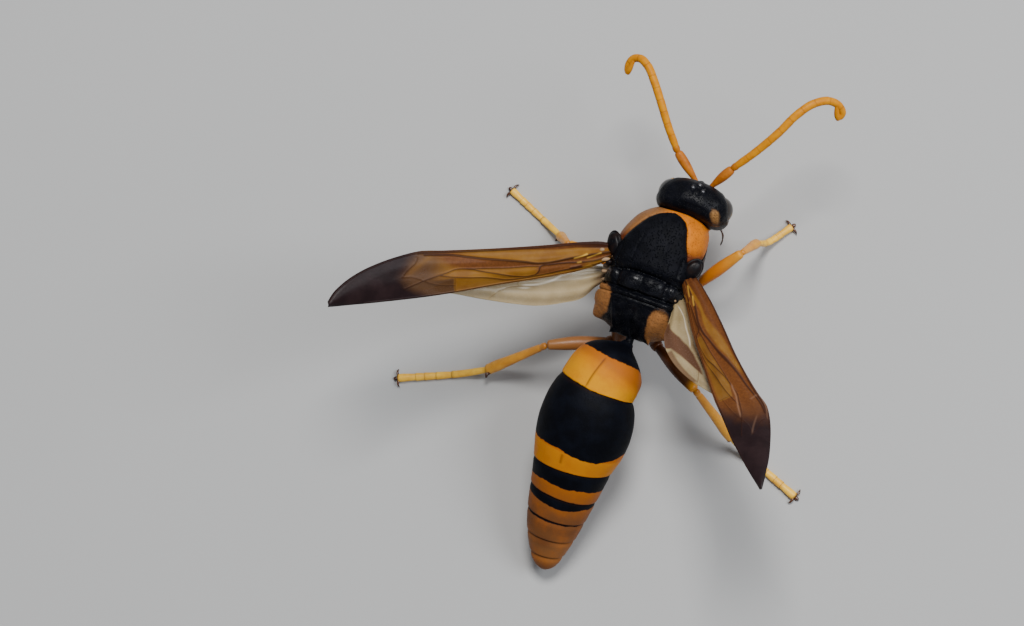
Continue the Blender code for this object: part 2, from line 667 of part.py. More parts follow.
def make_abdomen(frame, collection, materials):
    """Seven segments, each a length of one long pointed form, its front rim a little narrower."""
    for number, (start, end) in enumerate(zip(SEGMENT_ENDS, SEGMENT_ENDS[1:]), 1):
        near = start + (GAP / 2 if number > 1 else 0.0)
        far = end - (GAP / 2 if number < 7 else 0.0)
        inner = [place for place, _ in ABDOMEN_WIDTH if near + 0.25 < place < far - 0.2]
        first_step = [near + 0.45] if number > 1 else []
        at = np.array(sorted({near, far, *inner, *[place for place in first_step if place < far - 0.2]}))
        width = smooth_values(ABDOMEN_WIDTH, at)[:, 0]
        if number > 1:
            width *= 1.0 - SEGMENT_STEP * np.clip(1.0 - (at - near) / 0.45, 0.0, 1.0)
        place, ahead = abdomen_axis(at)
        rings = []
        for middle, direction, half in zip(place, ahead, width):
            across = unit(np.cross(direction, (0.0, 0.0, 1.0)))
            rise = unit(np.cross(across, direction))
            x, z = oval(half, half * ABDOMEN_TOP, half * ABDOMEN_BELLY, 2.1, ABDOMEN_SIDES)
            rings.append(middle + x[:, None] * across + z[:, None] * rise)
        loft(f"abdomen_{number}", rings, frame, collection, materials[f"abdomen_{number}"])


def wing_axes(word, frame):
    """Hinge, and the directions to the tip, to the back edge and up from the blade, over the floor."""
    raised, swept, twist, shift = WINGS[word]
    side = 1 if word == "left" else -1
    rise, sweep, turn = (math.radians(value) for value in (raised, swept, twist))
    ahead = np.array((side * math.cos(sweep), math.sin(sweep), 0.0))
    tip = math.cos(rise) * ahead + np.array((0.0, 0.0, math.sin(rise)))
    level = np.array((-side * math.sin(sweep), math.cos(sweep), 0.0))
    up = np.cross(tip, level)
    up = up if up[2] > 0 else -up
    back = math.cos(turn) * level + math.sin(turn) * up
    normal = np.cross(tip, back)
    normal = normal if normal[2] > 0 else -normal
    hinge = frame.out((side * HINGE[0], HINGE[1], HINGE[2])) + shift * back
    return hinge, tip, back, normal


def wing_blade(name, axes, edges, rows, veins, columns, drop, frame, collection, material):
    """A thin cambered blade between two edges, thicker along its veins."""
    hinge, tip, back, normal = axes
    bm = bmesh.new()
    bmesh.ops.create_grid(bm, x_segments=columns - 1, y_segments=len(rows) - 1, size=1.0)
    reach = smooth_values([(k, place) for k, (place, _, _) in enumerate(edges)],
                          np.linspace(0, len(edges) - 1, columns))[:, 0]
    sides = smooth_values(edges, reach)
    weights = []
    for vert in bm.verts:
        column = round((vert.co.x + 1) / 2 * (columns - 1))
        row = round((vert.co.y + 1) / 2 * (len(rows) - 1))
        share = rows[row]
        u = reach[column]
        v = sides[column, 0] * (1 - share) + sides[column, 1] * share
        rise = WING_CAMBER * 4 * share * (1 - share) - drop
        vert.co = (hinge + u * tip + v * back + rise * normal) * MM
        weights.append(1.0 if share in veins else MEMBRANE_PART)
    bmesh.ops.triangulate(bm, faces=bm.faces)
    mesh = bpy.data.meshes.new(name)
    bm.to_mesh(mesh)
    bm.free()
    blade = place_mesh(name, mesh, frame, collection, material)
    group = blade.vertex_groups.new(name="veins")
    for index, weight in enumerate(weights):
        group.add([index], weight, "REPLACE")
    solid = blade.modifiers.new("thickness", "SOLIDIFY")
    solid.thickness = WING_THICKNESS * MM
    solid.offset = 0.0
    solid.vertex_group = "veins"
    bake(blade)
    finish_faces(blade.data)
    return blade


def make_wings(floor, body, cutters, collection, materials):
    """Forewing over hindwing on each side, their roots clear of the thorax and of the tegula."""
    for side, word in ((1, "left"), (-1, "right")):
        centre = (side * TEGULA_CENTRE[0], TEGULA_CENTRE[1], TEGULA_CENTRE[2])
        turn = turn_about("Z", side * TEGULA_TURN) @ turn_about("Y", side * TEGULA_TILT)
        tegula = ball(f"tegula_{word}", centre, TEGULA_RADII, body, collection, materials["black"],
                      across=16, up=10, turn=turn)
        combine(tegula, thorax_form("tegula_seat", GAP, body, cutters), "DIFFERENCE")
        axes = wing_axes(word, body)
        fore = wing_blade(f"forewing_{word}", axes, FOREWING_EDGES[word], FORE_ROWS, FORE_VEINS, 20, 0.0,
                          floor, collection, materials["amber"])
        hind = wing_blade(f"hindwing_{word}", axes, HINDWING_EDGES[word], HIND_ROWS, HIND_VEINS, 15,
                          HINDWING_DROP, floor, collection, materials["membrane"])
        for blade in (fore, hind):
            combine(blade, thorax_form("wing_seat", GAP, body, cutters), "DIFFERENCE", "MANIFOLD")
            room = ball("tegula_room", centre, TEGULA_RADII, body, cutters, grow=GAP, turn=turn)
            combine(blade, room, "DIFFERENCE", "MANIFOLD")
            drop_slivers(blade)


def setback(joint, before, after, radius, next_radius):
    """How far from a joint the next limb starts, so that its end is GAP clear of the limb before it."""
    cosine = float(np.dot(unit(before - joint), unit(after - joint)))
    sine = math.sqrt(1.0 - cosine * cosine)
    distances = [(radius + GAP + next_radius * cosine) / sine]
    if cosine < -0.1:
        distances.append((GAP / 2 + next_radius * sine) / -cosine)
    return min(distances)


def bowed(start, end, bow, count):
    """COUNT points from START to END on a slight upward bow."""
    share = np.linspace(0.0, 1.0, count)[:, None]
    line = start + (end - start) * share
    return line + np.array((0.0, 0.0, bow)) * 4 * share * (1 - share)


def make_leg(word, floor, body, cutters, collection, materials):
    """Coxa, femur with trochanter, tibia and tarsus, each GAP from the next, the foot flat on the floor."""
    root, hip, *rest = LEGS[word]
    root, hip = body.out(root), body.out(hip)
    knee, ankle, bend, toe = (np.array(point) for point in rest)
    size = LEG_SIZE[word.split("_")[0]]
    upper = materials["brown" if word == "hind_right" else "orange"]
    coxa_radii = size * np.array(COXA_RADII)
    femur_radii = size * np.array(FEMUR_RADII)
    tibia_radii = size * np.array(TIBIA_RADII)

    coxa = limb(f"coxa_{word}", bowed(root, hip - GAP / 2 * unit(hip - root), 0.0, 4), coxa_radii,
                floor, collection, upper)
    combine(coxa, thorax_form("coxa_seat", GAP, body, cutters), "DIFFERENCE")

    start = hip + setback(hip, root, knee, coxa_radii[-1], femur_radii[0]) * unit(knee - hip)
    end = knee - GAP / 2 * unit(knee - hip)
    limb(f"femur_{word}", bowed(start, end, 0.12, 7), femur_radii, floor, collection, upper)

    start = knee + setback(knee, hip, ankle, femur_radii[-1], tibia_radii[0]) * unit(ankle - knee)
    end = ankle - GAP / 2 * unit(ankle - knee)
    limb(f"tibia_{word}", bowed(start, end, 0.0, 6), tibia_radii, floor, collection, materials["orange"])

    start = ankle + setback(ankle, knee, bend, tibia_radii[-1], TARSUS_RADIUS) * unit(bend - ankle)
    count = 2 * TARSUS_SEGMENTS + 1
    line = smooth_path((start, bend, toe), count)
    joints = 1.0 + 0.14 * (np.arange(count) % 2)
    radii = TARSUS_RADIUS * joints * np.interp(np.linspace(0, 1, count), (0.0, 0.9, 1.0), (1.05, 0.95, 0.9))
    tarsus = limb(f"tarsus_{word}", line, radii, floor, collection, materials["yellow"])
    under = prism("floor_zone", [(-30, -30), (30, -30), (30, 30), (-30, 30)], -3.0, 0.0, "z", floor, cutters)
    combine(tarsus, under, "DIFFERENCE")


def make_wasp():
    clear_scene()
    collection = make_collection(COLLECTION)
    cutters = make_collection("cutters")
    floor, body, head, neck = make_frames(collection)
    materials = {
        "black": make_material("black_chitin", BLACK, 0.45),
        "head": make_material("head_chitin", BLACK, 0.40),
        "orange": make_material("orange_chitin", ORANGE, 0.45),
        "deep": make_material("deep_orange_chitin", DEEP_ORANGE, 0.45),
        "yellow": make_material("yellow_orange_chitin", YELLOW_ORANGE, 0.45),
        "brown": make_material("brown_chitin", BROWN, 0.40),
        "eye": make_material("eye_facets", EYE_GREY, 0.15),
        "amber": make_material("amber_wing", AMBER, 0.30),
        "membrane": make_material("pale_wing", PALE_MEMBRANE, 0.30),
    }
    bands = (ORANGE, BLACK, ORANGE, ORANGE, DEEP_ORANGE, DEEP_ORANGE, DEEP_ORANGE)
    for number, colour in enumerate(bands, 1):
        materials[f"abdomen_{number}"] = make_material(f"abdomen_{number}_chitin", colour, 0.55)
    make_pronotum(body, cutters, collection, materials["orange"], head)
    make_mesothorax(body, cutters, collection, materials["black"])
    make_propodeum(body, cutters, collection, materials["black"])
    make_head(head, cutters, collection, materials)
    make_feelers(neck, cutters, collection, materials, head)
    make_abdomen(body, collection, materials)
    make_wings(floor, body, cutters, collection, materials)
    for word in LEGS:
        make_leg(word, floor, body, cutters, collection, materials)


make_wasp()
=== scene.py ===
"""A large potter wasp, life size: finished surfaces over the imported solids, a pale floor, light and camera.

Every named size but the stage's is in millimetres or degrees, in the same frames as the solids: the body's
frame has x to the wasp's left, y to its tail and z up, and the floor's frame has z = 0 under the feet. MM
turns millimetres into metres when a mesh is made.
"""

import math

import bpy
import numpy as np
from mathutils import Matrix


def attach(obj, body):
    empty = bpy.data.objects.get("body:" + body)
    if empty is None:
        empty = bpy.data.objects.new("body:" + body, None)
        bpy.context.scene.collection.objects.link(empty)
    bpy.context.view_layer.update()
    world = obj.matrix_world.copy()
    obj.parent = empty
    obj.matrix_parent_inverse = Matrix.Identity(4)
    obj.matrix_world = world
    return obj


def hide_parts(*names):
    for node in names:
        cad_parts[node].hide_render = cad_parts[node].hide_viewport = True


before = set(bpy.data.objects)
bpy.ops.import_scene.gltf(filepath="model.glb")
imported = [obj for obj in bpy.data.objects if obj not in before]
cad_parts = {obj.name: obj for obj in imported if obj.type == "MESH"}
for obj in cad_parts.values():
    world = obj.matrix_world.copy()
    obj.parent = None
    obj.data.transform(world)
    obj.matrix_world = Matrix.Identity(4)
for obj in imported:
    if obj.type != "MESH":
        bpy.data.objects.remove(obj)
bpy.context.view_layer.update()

MM = 0.001
UP = np.array((0.0, 0.0, 1.0))
SIDES = {"left": 1, "right": -1}
OUTSIDE = -9.0          # value of a marking's field far from the marking

# Stance, as in the solids
CENTRE = np.array((-2.148, -3.31, 7.0))
PITCH = 6.0
ROLL = 3.0
HEAD_PLACE = (-1.0, -4.36, -0.3)
HEAD_YAW = -1.5
HEAD_NOD = 8.0
HEAD_LEAN = -5.0

# Thorax: place along the body, half width, top, bottom, squareness of the section
THORAX = (
    (-4.2, 0.75, 0.75, -0.81, 2.0),
    (-3.95, 1.15, 1.15, -1.35, 2.1),
    (-3.6, 1.66, 1.62, -1.89, 2.2),
    (-3.3, 2.0, 1.92, -2.12, 2.2),
    (-3.0, 2.22, 2.15, -2.29, 2.3),
    (-2.3, 2.51, 2.45, -2.52, 2.3),
    (-1.5, 2.72, 2.65, -2.61, 2.3),
    (-0.5, 2.82, 2.74, -2.66, 2.3),
    (0.3, 2.78, 2.7, -2.63, 2.4),
    (0.65, 2.74, 2.55, -2.61, 2.4),
    (1.15, 2.7, 2.66, -2.56, 2.5),
    (1.6, 2.7, 2.58, -2.5, 2.5),
    (1.85, 2.76, 2.4, -2.45, 2.6),
    (2.2, 2.84, 2.46, -2.34, 2.7),
    (2.6, 2.9, 2.28, -2.21, 2.8),
    (3.2, 2.82, 1.98, -1.94, 2.8),
    (3.8, 2.42, 1.5, -1.62, 2.7),
    (4.3, 1.62, 0.95, -1.08, 2.4),
    (4.65, 0.8, 0.5, -0.5, 2.0),
)
THORAX_GRID = (330, 288)
FRONT_BEND = 0.46       # the collar follows the head to the right by this much at y = -3.6
COLLAR_REAR = ((-4.0, -2.7), (-0.9, -2.45), (0.35, -1.35), (1.35, -0.95), (4.0, -0.95))     # height, place
SCUTUM_SIDE = (
    (-4.0, -0.9), (-3.58, 0.1), (-3.45, 0.58), (-3.25, 0.97), (-2.85, 1.33), (-2.03, 1.76), (-1.45, 2.06),
    (-1.1, 2.19), (-0.2, 2.45), (4.65, 2.45),
)
SCUTUM_FLOOR = 0.9
SIDE_TOOTH = ((2.18, 3.62, 0.55), (2.75, 4.05, 0.25), 0.75)      # root on the skin, tip, reach of the root
REAR_TOOTH = ((1.02, 4.45, 0.55), (1.35, 4.75, 0.42), 0.42)
NECK = (((-0.45, -3.2, -0.1), (-0.75, -3.9, -0.2), (-1.0, -4.4, -0.3)), 0.72)       # line and radius
WAIST = (((0.0, 4.2, 0.1), (0.0, 4.75, 0.04), (0.03, 5.25, 0.1)), (0.4, 0.3, 0.26, 0.3, 0.36))
SPOTS = (               # middle, half size and depth of each tan patch
    (2.46, 2.98, 0.88, 1.08, 0.35),
    (-1.68, 3.86, 0.68, 1.42, 0.9),
)

# Head: height, half width, reach to the front, reach to the back
HEAD = (
    (-2.5, 0.8, 0.6, 0.15),
    (-2.2, 1.28, 0.88, 0.38),
    (-1.7, 1.72, 1.15, 0.62),
    (-1.1, 2.08, 1.38, 0.85),
    (-0.4, 2.32, 1.52, 1.0),
    (0.4, 2.38, 1.56, 1.05),
    (1.1, 2.28, 1.5, 1.02),
    (1.7, 1.98, 1.32, 0.88),
    (2.05, 1.5, 1.05, 0.66),
    (2.3, 0.72, 0.56, 0.34),
)
HEAD_SQUARENESS = (2.35, 3.0)     # of the front and of the back of a level section
HEAD_HOLLOW = 0.42                # depth of the hollow at the back of the head
HOLLOW_WIDTH = 1.15
HOLLOW_FADE = (0.9, 1.8)          # heights between which the hollow grows shallow
HEAD_GAP = 0.1                    # from the back of the head to the collar
HEAD_GRID = (300, 300)
EYE_GRID = (120, 140)
EYE_CENTRE = (1.66, -0.36, 0.3)
EYE_RADII = (0.78, 0.84, 1.5)
EYE_BEND = 0.32
CLYPEUS_CENTRE = (0.0, -1.18, -1.55)
CLYPEUS_RADII = (1.12, 0.58, 1.08)
MANDIBLE = ((1.05, -0.95, -2.25), (1.12, -1.3, -3.05), (0.8, -1.62, -3.75), (0.18, -1.78, -4.28))
MANDIBLE_RADII = (0.36, 0.37, 0.33, 0.27, 0.2, 0.09)
MANDIBLE_TEETH = (0.48, 0.63, 0.77)
SOCKET = (0.48, -1.62, 0.1)
PALPS = (               # lines in the body's frame, from the mouth, and their radius
    (((-1.45, -4.45, -2.55), (-2.05, -4.05, -2.75), (-2.55, -3.8, -2.5), (-2.86, -3.45, -2.62),
      (-2.9, -3.15, -2.92), (-2.82, -2.82, -3.32)), 0.08),
    (((-0.6, -4.45, -2.6), (0.05, -4.05, -3.0), (0.55, -3.75, -3.3), (0.8, -3.6, -3.75)), 0.08),
    (((-1.25, -4.55, -2.65), (-1.45, -4.25, -3.15), (-1.65, -4.05, -3.45)), 0.05),
    (((-0.85, -4.55, -2.65), (-0.6, -4.25, -3.15), (-0.4, -4.05, -3.45)), 0.05),
)
OCELLI = ((-0.09, -1.06), (0.25, -0.76), (-0.41, -0.72))
OCELLUS_RADII = (0.145, 0.145, 0.125)
LABRUM = ((0.0, -1.42, -2.66), (0.5, 0.16, 0.3))       # centre and radii
FEELER_PLACE = (-0.93, -4.56, -0.3)
FEELER_YAW = -6.0
FEELERS = {
    "left": ((2.25, -2.58, 0.78), (3.2, -3.6, 1.34), (4.37, -5.0, 1.95), (5.09, -5.8, 2.16),
             (5.98, -6.58, 2.11), (6.58, -6.8, 1.95), (7.03, -6.66, 1.76), (7.25, -6.2, 1.51),
             (7.16, -5.67, 1.29)),
    "right": ((-1.45, -3.04, 0.77), (-2.36, -4.41, 1.32), (-3.34, -6.22, 1.85), (-3.89, -7.59, 1.99),
              (-4.52, -8.66, 1.8), (-5.22, -9.22, 1.4), (-5.8, -9.25, 0.94), (-6.16, -8.94, 0.55),
              (-6.08, -8.5, 0.39)),
}
SCAPE_RADIUS = 0.31
PEDICEL_RADIUS = 0.235
FLAGELLUM_RADIUS = 0.26
FOLDED_RADIUS = 0.185           # of the last segment
FEELER_SEGMENTS = 11

# Abdomen: line of its axis in the body's frame, then distance along it and half width
ABDOMEN_AXIS = (
    (0.0, 4.95, 0.02), (0.42, 6.5, 0.38), (0.85, 8.14, 0.46), (0.9, 10.7, -0.1), (1.02, 13.2, -0.9),
    (1.12, 15.0, -1.5), (1.2, 16.5, -2.06), (1.22, 17.83, -2.6), (1.19, 19.08, -3.15), (1.11, 20.4, -3.78),
)
ABDOMEN_WIDTH = (
    (0.0, 0.34), (0.3, 0.52), (0.6, 1.0), (1.0, 1.6), (1.6, 2.15), (2.4, 2.38), (3.34, 2.45),
    (4.4, 2.8), (5.97, 3.0), (7.3, 2.86), (8.57, 2.54), (10.47, 2.2), (12.1, 1.92),
    (13.55, 1.6), (14.9, 1.14), (15.6, 0.84), (16.0, 0.52), (16.22, 0.2),
)
ABDOMEN_SIDES = 210
ABDOMEN_TOP = 0.9
ABDOMEN_BELLY = 0.8
SEGMENT_ENDS = (0.0, 3.34, 8.57, 10.47, 12.1, 13.55, 14.9, 16.22)
BLACK_BANDS = (                 # start of each band along the abdomen, then its end at angles round the back
    (-0.5, ((-90, 1.2), (0, 1.35), (25, 1.72), (90, 1.62), (150, 1.22), (180, 1.2), (270, 1.2))),
    (3.34, ((-90, 6.6), (0, 6.95), (33, 7.22), (79, 7.14), (105, 7.36), (130, 7.34), (170, 6.83), (270, 6.6))),
    (8.57, ((-90, 9.6), (0, 9.8), (15, 9.83), (68, 9.64), (100, 9.7), (129, 9.58), (180, 9.62), (270, 9.6))),
    (10.47, ((-90, 10.8), (0, 10.92), (24, 10.96), (66, 11.08), (102, 11.16), (127, 11.04), (150, 10.86),
             (180, 10.8), (270, 10.8))),
    (12.1, ((-90, 12.2), (0, 12.22), (90, 12.28), (180, 12.2), (270, 12.2))),
)

# Wings: u runs from the hinge to the tip, v from the front edge to the back edge
HINGE = (3.1, 0.12, 1.42)
WINGS = {                       # raised, swept back, twist, hinge's shift along v
    "left": (26.0, 33.6, -25.0, 0.05),
    "right": (34.6, 47.0, 15.0, 0.42),
}
FOREWING_EDGES = {
    "left": (
        (-0.75, -0.45, 0.42), (0.0, -0.7, 0.6), (1.3, -0.88, 0.84), (3.9, -1.05, 0.98), (7.2, -1.33, 0.98),
        (10.5, -1.68, 1.04), (12.2, -1.87, 1.02), (13.3, -1.77, 0.98), (14.6, -1.55, 0.92), (15.9, -1.19, 0.85),
        (16.6, -0.9, 0.8), (17.3, -0.5, 0.76), (17.85, -0.06, 0.73), (18.2, 0.38, 0.7),
    ),
    "right": (
        (-0.75, -0.42, 0.4), (0.0, -0.62, 0.5), (1.3, -0.8, 0.66), (3.9, -0.94, 0.98), (7.2, -1.0, 1.18),
        (10.5, -1.32, 1.33), (11.6, -1.5, 1.3), (12.5, -1.4, 1.29), (13.6, -1.14, 1.28), (14.6, -0.82, 1.2),
        (15.9, -0.33, 1.1), (16.8, 0.1, 1.0), (17.55, 0.46, 0.9), (18.08, 0.74, 0.84),
    ),
}
HINDWING_EDGES = {
    "left": (
        (-0.9, 1.2, 1.85), (0.3, 0.95, 2.32), (1.2, 0.72, 2.86), (2.6, 0.55, 3.0), (4.2, 0.45, 2.94),
        (5.9, 0.38, 2.56), (7.2, 0.34, 2.18), (8.4, 0.32, 1.8), (9.5, 0.38, 1.42), (10.5, 0.55, 1.12),
        (11.0, 0.7, 0.95),
    ),
    "right": (
        (-0.9, 0.6, 1.0), (0.1, 0.45, 1.18), (1.2, 0.4, 1.62), (2.0, 0.4, 2.05), (2.7, 0.4, 2.44),
        (3.6, 0.38, 2.66), (4.7, 0.36, 2.66), (5.7, 0.34, 2.48), (6.6, 0.33, 2.18), (7.3, 0.34, 1.85),
        (7.9, 0.36, 1.5), (8.5, 0.42, 1.12), (9.0, 0.5, 0.85),
    ),
}
BLADES = {                      # edges, drop from the hinge, rows and columns, half thickness
    "forewing": (FOREWING_EDGES, 0.0, 400, 84, 0.03),
    "hindwing": (HINDWING_EDGES, 1.05, 260, 76, 0.022),
}
WING_CAMBER = 0.22
PLEAT_HEIGHT = 0.035
VEIN_HEIGHT = 0.055
ROOT_HEIGHT = 0.12
FORE_VEINS = {                  # half width of the vein, then its line in u and v on the left wing
    "radius": (0.085, ((-0.5, -0.1), (0.67, -0.09), (2.24, -0.06), (3.99, 0.02), (4.54, -0.03), (5.43, -0.27),
                       (6.77, -0.57), (8.1, -0.86), (9.16, -1.12), (10.03, -1.34), (11.17, -1.52),
                       (11.8, -1.62))),
    "medial": (0.07, ((-0.3, 0.16), (0.8, 0.34), (1.81, 0.31), (2.72, 0.21), (3.64, 0.17), (4.42, 0.22),
                       (4.54, 0.5), (4.72, 0.66))),
    "discal_front": (0.05, ((4.42, 0.16), (5.1, 0.08), (6.36, -0.02), (7.71, -0.19), (9.22, -0.38))),
    "discal_rear": (0.06, ((4.72, 0.66), (5.24, 0.7), (6.14, 0.55), (7.29, 0.21), (8.17, -0.05), (8.96, -0.32),
                            (9.22, -0.38))),
    "cubital": (0.055, ((0.2, 0.5), (0.91, 0.61), (2.76, 0.64), (4.3, 0.74), (5.9, 0.76), (6.78, 0.68),
                        (7.32, 0.53), (8.02, 0.35), (9.09, 0.19), (9.8, 0.07), (10.42, -0.06), (10.95, -0.22))),
    "cross_inner": (0.04, ((9.99, 0.05), (10.0, 0.98))),
    "submarginal": (0.055, ((9.22, -0.38), (9.93, -0.45), (10.48, -0.33), (11.21, -0.21), (11.93, -0.08),
                            (12.66, 0.11), (13.3, 0.28))),
    "outer": (0.04, ((10.0, 0.55), (10.64, 0.46), (11.43, 0.26), (11.94, 0.01), (12.28, -0.17), (12.71, -0.36),
                      (13.41, -0.47))),
    "cross_outer": (0.045, ((12.3, -1.48), (12.45, -1.26), (13.05, -0.82), (13.41, -0.47))),
    "dark_root": (0.075, ((2.4, 0.59), (2.04, 0.57), (1.7, 0.55))),
    "rear_fold": (0.045, ((1.0, 0.8), (4.0, 0.9), (7.2, 0.9), (10.5, 0.96), (13.2, 0.9), (15.9, 0.78))),
}
HIND_VEINS = {
    "front": (0.05, ((-0.6, 1.3), (0.3, 1.1), (1.2, 0.86), (2.6, 0.68), (4.2, 0.56), (5.9, 0.49), (7.2, 0.44),
                      (8.4, 0.42), (9.5, 0.47), (10.6, 0.68))),
    "brown": (0.045, ((4.26, 1.6), (5.17, 1.48), (5.62, 1.44), (6.17, 1.42), (6.82, 1.54), (7.2, 1.73),
                      (7.45, 1.95))),
    "fork": (0.035, ((2.0, 1.18), (3.3, 1.14), (5.5, 1.06), (7.0, 1.0), (8.8, 1.04))),
    "cross": (0.035, ((5.54, 1.06), (5.55, 1.41))),
}
PALE_LINES = {                  # ridges of the hindwing that catch the light: half width, then line
    "left": ((0.065, ((-0.8, 1.38), (0.2, 1.2), (0.98, 1.13), (1.91, 1.16), (2.56, 1.2), (3.13, 1.38),
                      (4.16, 1.51), (4.89, 1.46), (5.48, 1.37))),
             (0.05, ((4.59, 1.68), (5.18, 1.61), (5.72, 1.5)))),
    "right": ((0.04, ((0.5, 1.95), (0.84, 1.86), (1.8, 1.45), (2.9, 1.32), (3.82, 1.31), (4.7, 1.44))),),
}
GOLD_GLINTS = (                 # painted golden highlights: strength and line
    (1.0, ((2.1, 0.0), (1.68, -0.05), (1.26, -0.15))), (0.8, ((1.21, 0.1), (0.72, -0.01), (0.37, -0.1))),
    (0.5, ((1.9, 0.31), (1.68, 0.3))), (0.4, ((1.52, 0.68), (1.0, 0.66), (0.85, 0.74))),
)
BAND = ((-1.0, 0.1), (1.5, 0.3), (3.6, 0.17), (4.5, 0.12), (6.36, -0.02), (7.71, -0.19), (9.22, -0.38),
        (10.0, -0.62), (10.8, -1.1), (11.6, -1.66))      # lower edge of the red-brown band behind the radius
SMOKE_EDGE = {                  # v, then u
    "left": ((-1.8, 12.3), (-1.2, 12.9), (-0.5, 13.3), (0.2, 12.9), (0.8, 12.1), (1.2, 11.0)),
    "right": ((-1.8, 12.35), (-1.2, 12.4), (-0.5, 12.25), (0.2, 11.8), (0.8, 11.3), (1.2, 10.9)),
}
FRONT_BAND = ((-0.8, -0.3), (0.2, -0.37), (0.9, -0.48), (1.9, -0.62), (3.0, -0.67), (4.5, -0.86), (5.7, -1.06),
              (7.2, -1.28), (8.7, -1.48), (10.5, -1.6))     # lower edge of the dark band along the front edge
FRONT_BAND_WIDER = {"left": 0.0, "right": 0.16}
RIGHT_SHIFT = ((0.0, 0.4), (2.2, 0.42), (3.5, 0.45), (4.8, 0.42), (6.0, 0.35), (7.5, 0.24), (9.1, 0.16),
               (10.5, 0.05), (12.0, 0.0))      # the right wing leans, so its cells lie this much further back
PALE_STREAKS = (                # right wing: half width, strength, line
    (0.05, 0.55, ((9.35, -0.42), (9.6, -0.39), (10.37, -0.33), (11.4, -0.1), (12.4, -0.03))),
    (0.06, 0.3, ((10.94, -1.05), (10.75, -1.3), (10.62, -1.48))),
    (0.06, 0.2, ((12.3, -1.1), (13.15, -0.66), (13.95, -0.36))),
    # A painted highlight along the front rim
    (0.045, 0.3, ((10.95, -1.68), (11.8, -1.74), (12.85, -1.68))),
)
BROWN_BAND_FRONT = ((1.8, 0.9), (2.4, 0.8), (2.8, 0.7), (3.4, 0.53), (4.4, 0.41), (5.2, 0.36), (6.4, 0.4), (7.2, 0.5))
BROWN_BAND_REAR = ((1.8, 1.1), (3.8, 1.1), (4.1, 0.92), (5.1, 0.77), (6.1, 0.66), (7.1, 0.58))
TEGULA_CENTRE = (2.6, -0.6, 1.5)
TEGULA_RADII = (0.58, 0.84, 0.4)
TEGULA_TURN = 22.0
TEGULA_TILT = 28.0
WING_PLATES = {                 # x, y, z, the three half sizes and paleness, a painted highlight, of each small plate
    "left": ((2.81, 0.53, 1.6, 0.3, 0.12, 0.13, 0.9), (3.17, 0.04, 1.84, 0.17, 0.12, 0.12, 0.8),
             (2.71, 1.18, 0.95, 0.27, 0.14, 0.14, 0.9), (2.64, 1.71, 0.9, 0.2, 0.11, 0.12, 0.5),
             (2.36, 0.2, 1.66, 0.13, 0.11, 0.11, 0.6), (2.7, 0.85, 1.3, 0.22, 0.16, 0.15, 0.1),
             (2.54, 0.62, 1.5, 0.24, 0.2, 0.2, 0.0)),
    "right": ((2.78, 0.4, 1.45, 0.24, 0.12, 0.14, 0.8), (2.66, 0.8, 1.35, 0.24, 0.16, 0.15, 0.1),
              (2.7, 1.1, 0.95, 0.26, 0.18, 0.16, 0.1), (2.2, 1.55, 1.72, 0.14, 0.09, 0.09, 0.7)),
}

# Legs: coxa root and hip in the body's frame, then knee, ankle, bend and toe over the floor
LEGS = {
    "front_left": ((0.8, -2.55, -1.9), (1.15, -2.25, -3.4),
                   (1.1, -5.4, 4.4), (1.5, -3.8, 1.3), (1.62, -4.55, 0.42), (1.95, -6.85, 0.2)),
    "front_right": ((-0.8, -2.55, -1.9), (-1.15, -2.25, -3.4),
                    (-2.1, -5.2, 4.2), (-1.08, -3.87, 1.3), (-1.02, -4.6, 0.42), (-1.1, -6.75, 0.2)),
    "mid_left": ((0.95, 0.2, -1.9), (1.9, 0.55, -3.4),
                 (6.1, 0.05, 4.85), (7.52, -0.8, 0.95), (8.55, -1.27, 0.42), (11.72, -2.69, 0.2)),
    "mid_right": ((-0.95, 0.35, -1.9), (-1.75, 0.75, -3.35),
                  (-4.75, -2.75, 6.5), (-4.92, -4.24, 2.6), (-5.42, -4.92, 0.6), (-6.38, -6.35, 0.2)),
    "hind_left": ((0.85, 2.95, -1.5), (1.25, 5.05, -2.75),
                  (5.16, 6.58, 4.6), (8.95, 9.03, 0.95), (10.3, 9.65, 0.42), (14.45, 11.42, 0.2)),
    "hind_right": ((-0.8, 2.95, -1.5), (-0.88, 4.35, -2.75),
                   (-4.94, 6.35, 6.5), (-7.56, 7.98, 1.5), (-8.9, 8.6, 0.5), (-12.47, 10.04, 0.2)),
}
LEG_SIZE = {"front": 0.9, "mid": 1.0, "hind": 1.1}
SPURS = {                       # place from the tibia's end and reach
    "front": ((0.16, 0.3),), "mid": ((0.16, 0.34),), "hind_left": ((0.1, 0.38), (0.3, 0.24)),
    "hind_right": ((0.12, 0.16),),
}
LEG_TONES = {                  # darkness of the hip and of the thigh, and how tan the thigh is
    "hind_left": (0.35, 0.0, 0.92), "hind_right": (0.92, 0.92, 0.0),
}
PLAIN_LEG = (0.15, 0.0, 0.0)
COXA_RADII = (0.78, 0.8, 0.66, 0.38)
RING_RADIUS = 0.33              # of the trochanter
FEMUR_RADII = (0.25, 0.31, 0.37, 0.4, 0.38, 0.33, 0.27)
TIBIA_RADII = (0.2, 0.225, 0.25, 0.275, 0.305, 0.335, 0.31)
TARSUS_RADIUS = 0.225
LEG_SIDES = 36
CLAW_RADIUS = 0.095
CLAW_STANCE = {"front_left": (0.22, 0.45)}      # how far the claws are drawn in and how wide they stand
PAD_RADII = (0.13, 0.17, 0.09)
SPUR_RADIUS = 0.115
TARSUS_PARTS = (0.0, 0.44, 0.6, 0.72, 0.81, 1.0)

# Camera, in millimetres over the floor
CAMERA_PLACE = (-32.948, 22.94, 203.09)
CAMERA_RIGHT = (-0.926332, -0.347888, -0.144487)
CAMERA_UP = (0.324801, -0.931902, 0.161424)
CAMERA_LENS = 112.5
CAMERA_SENSOR = 36.0

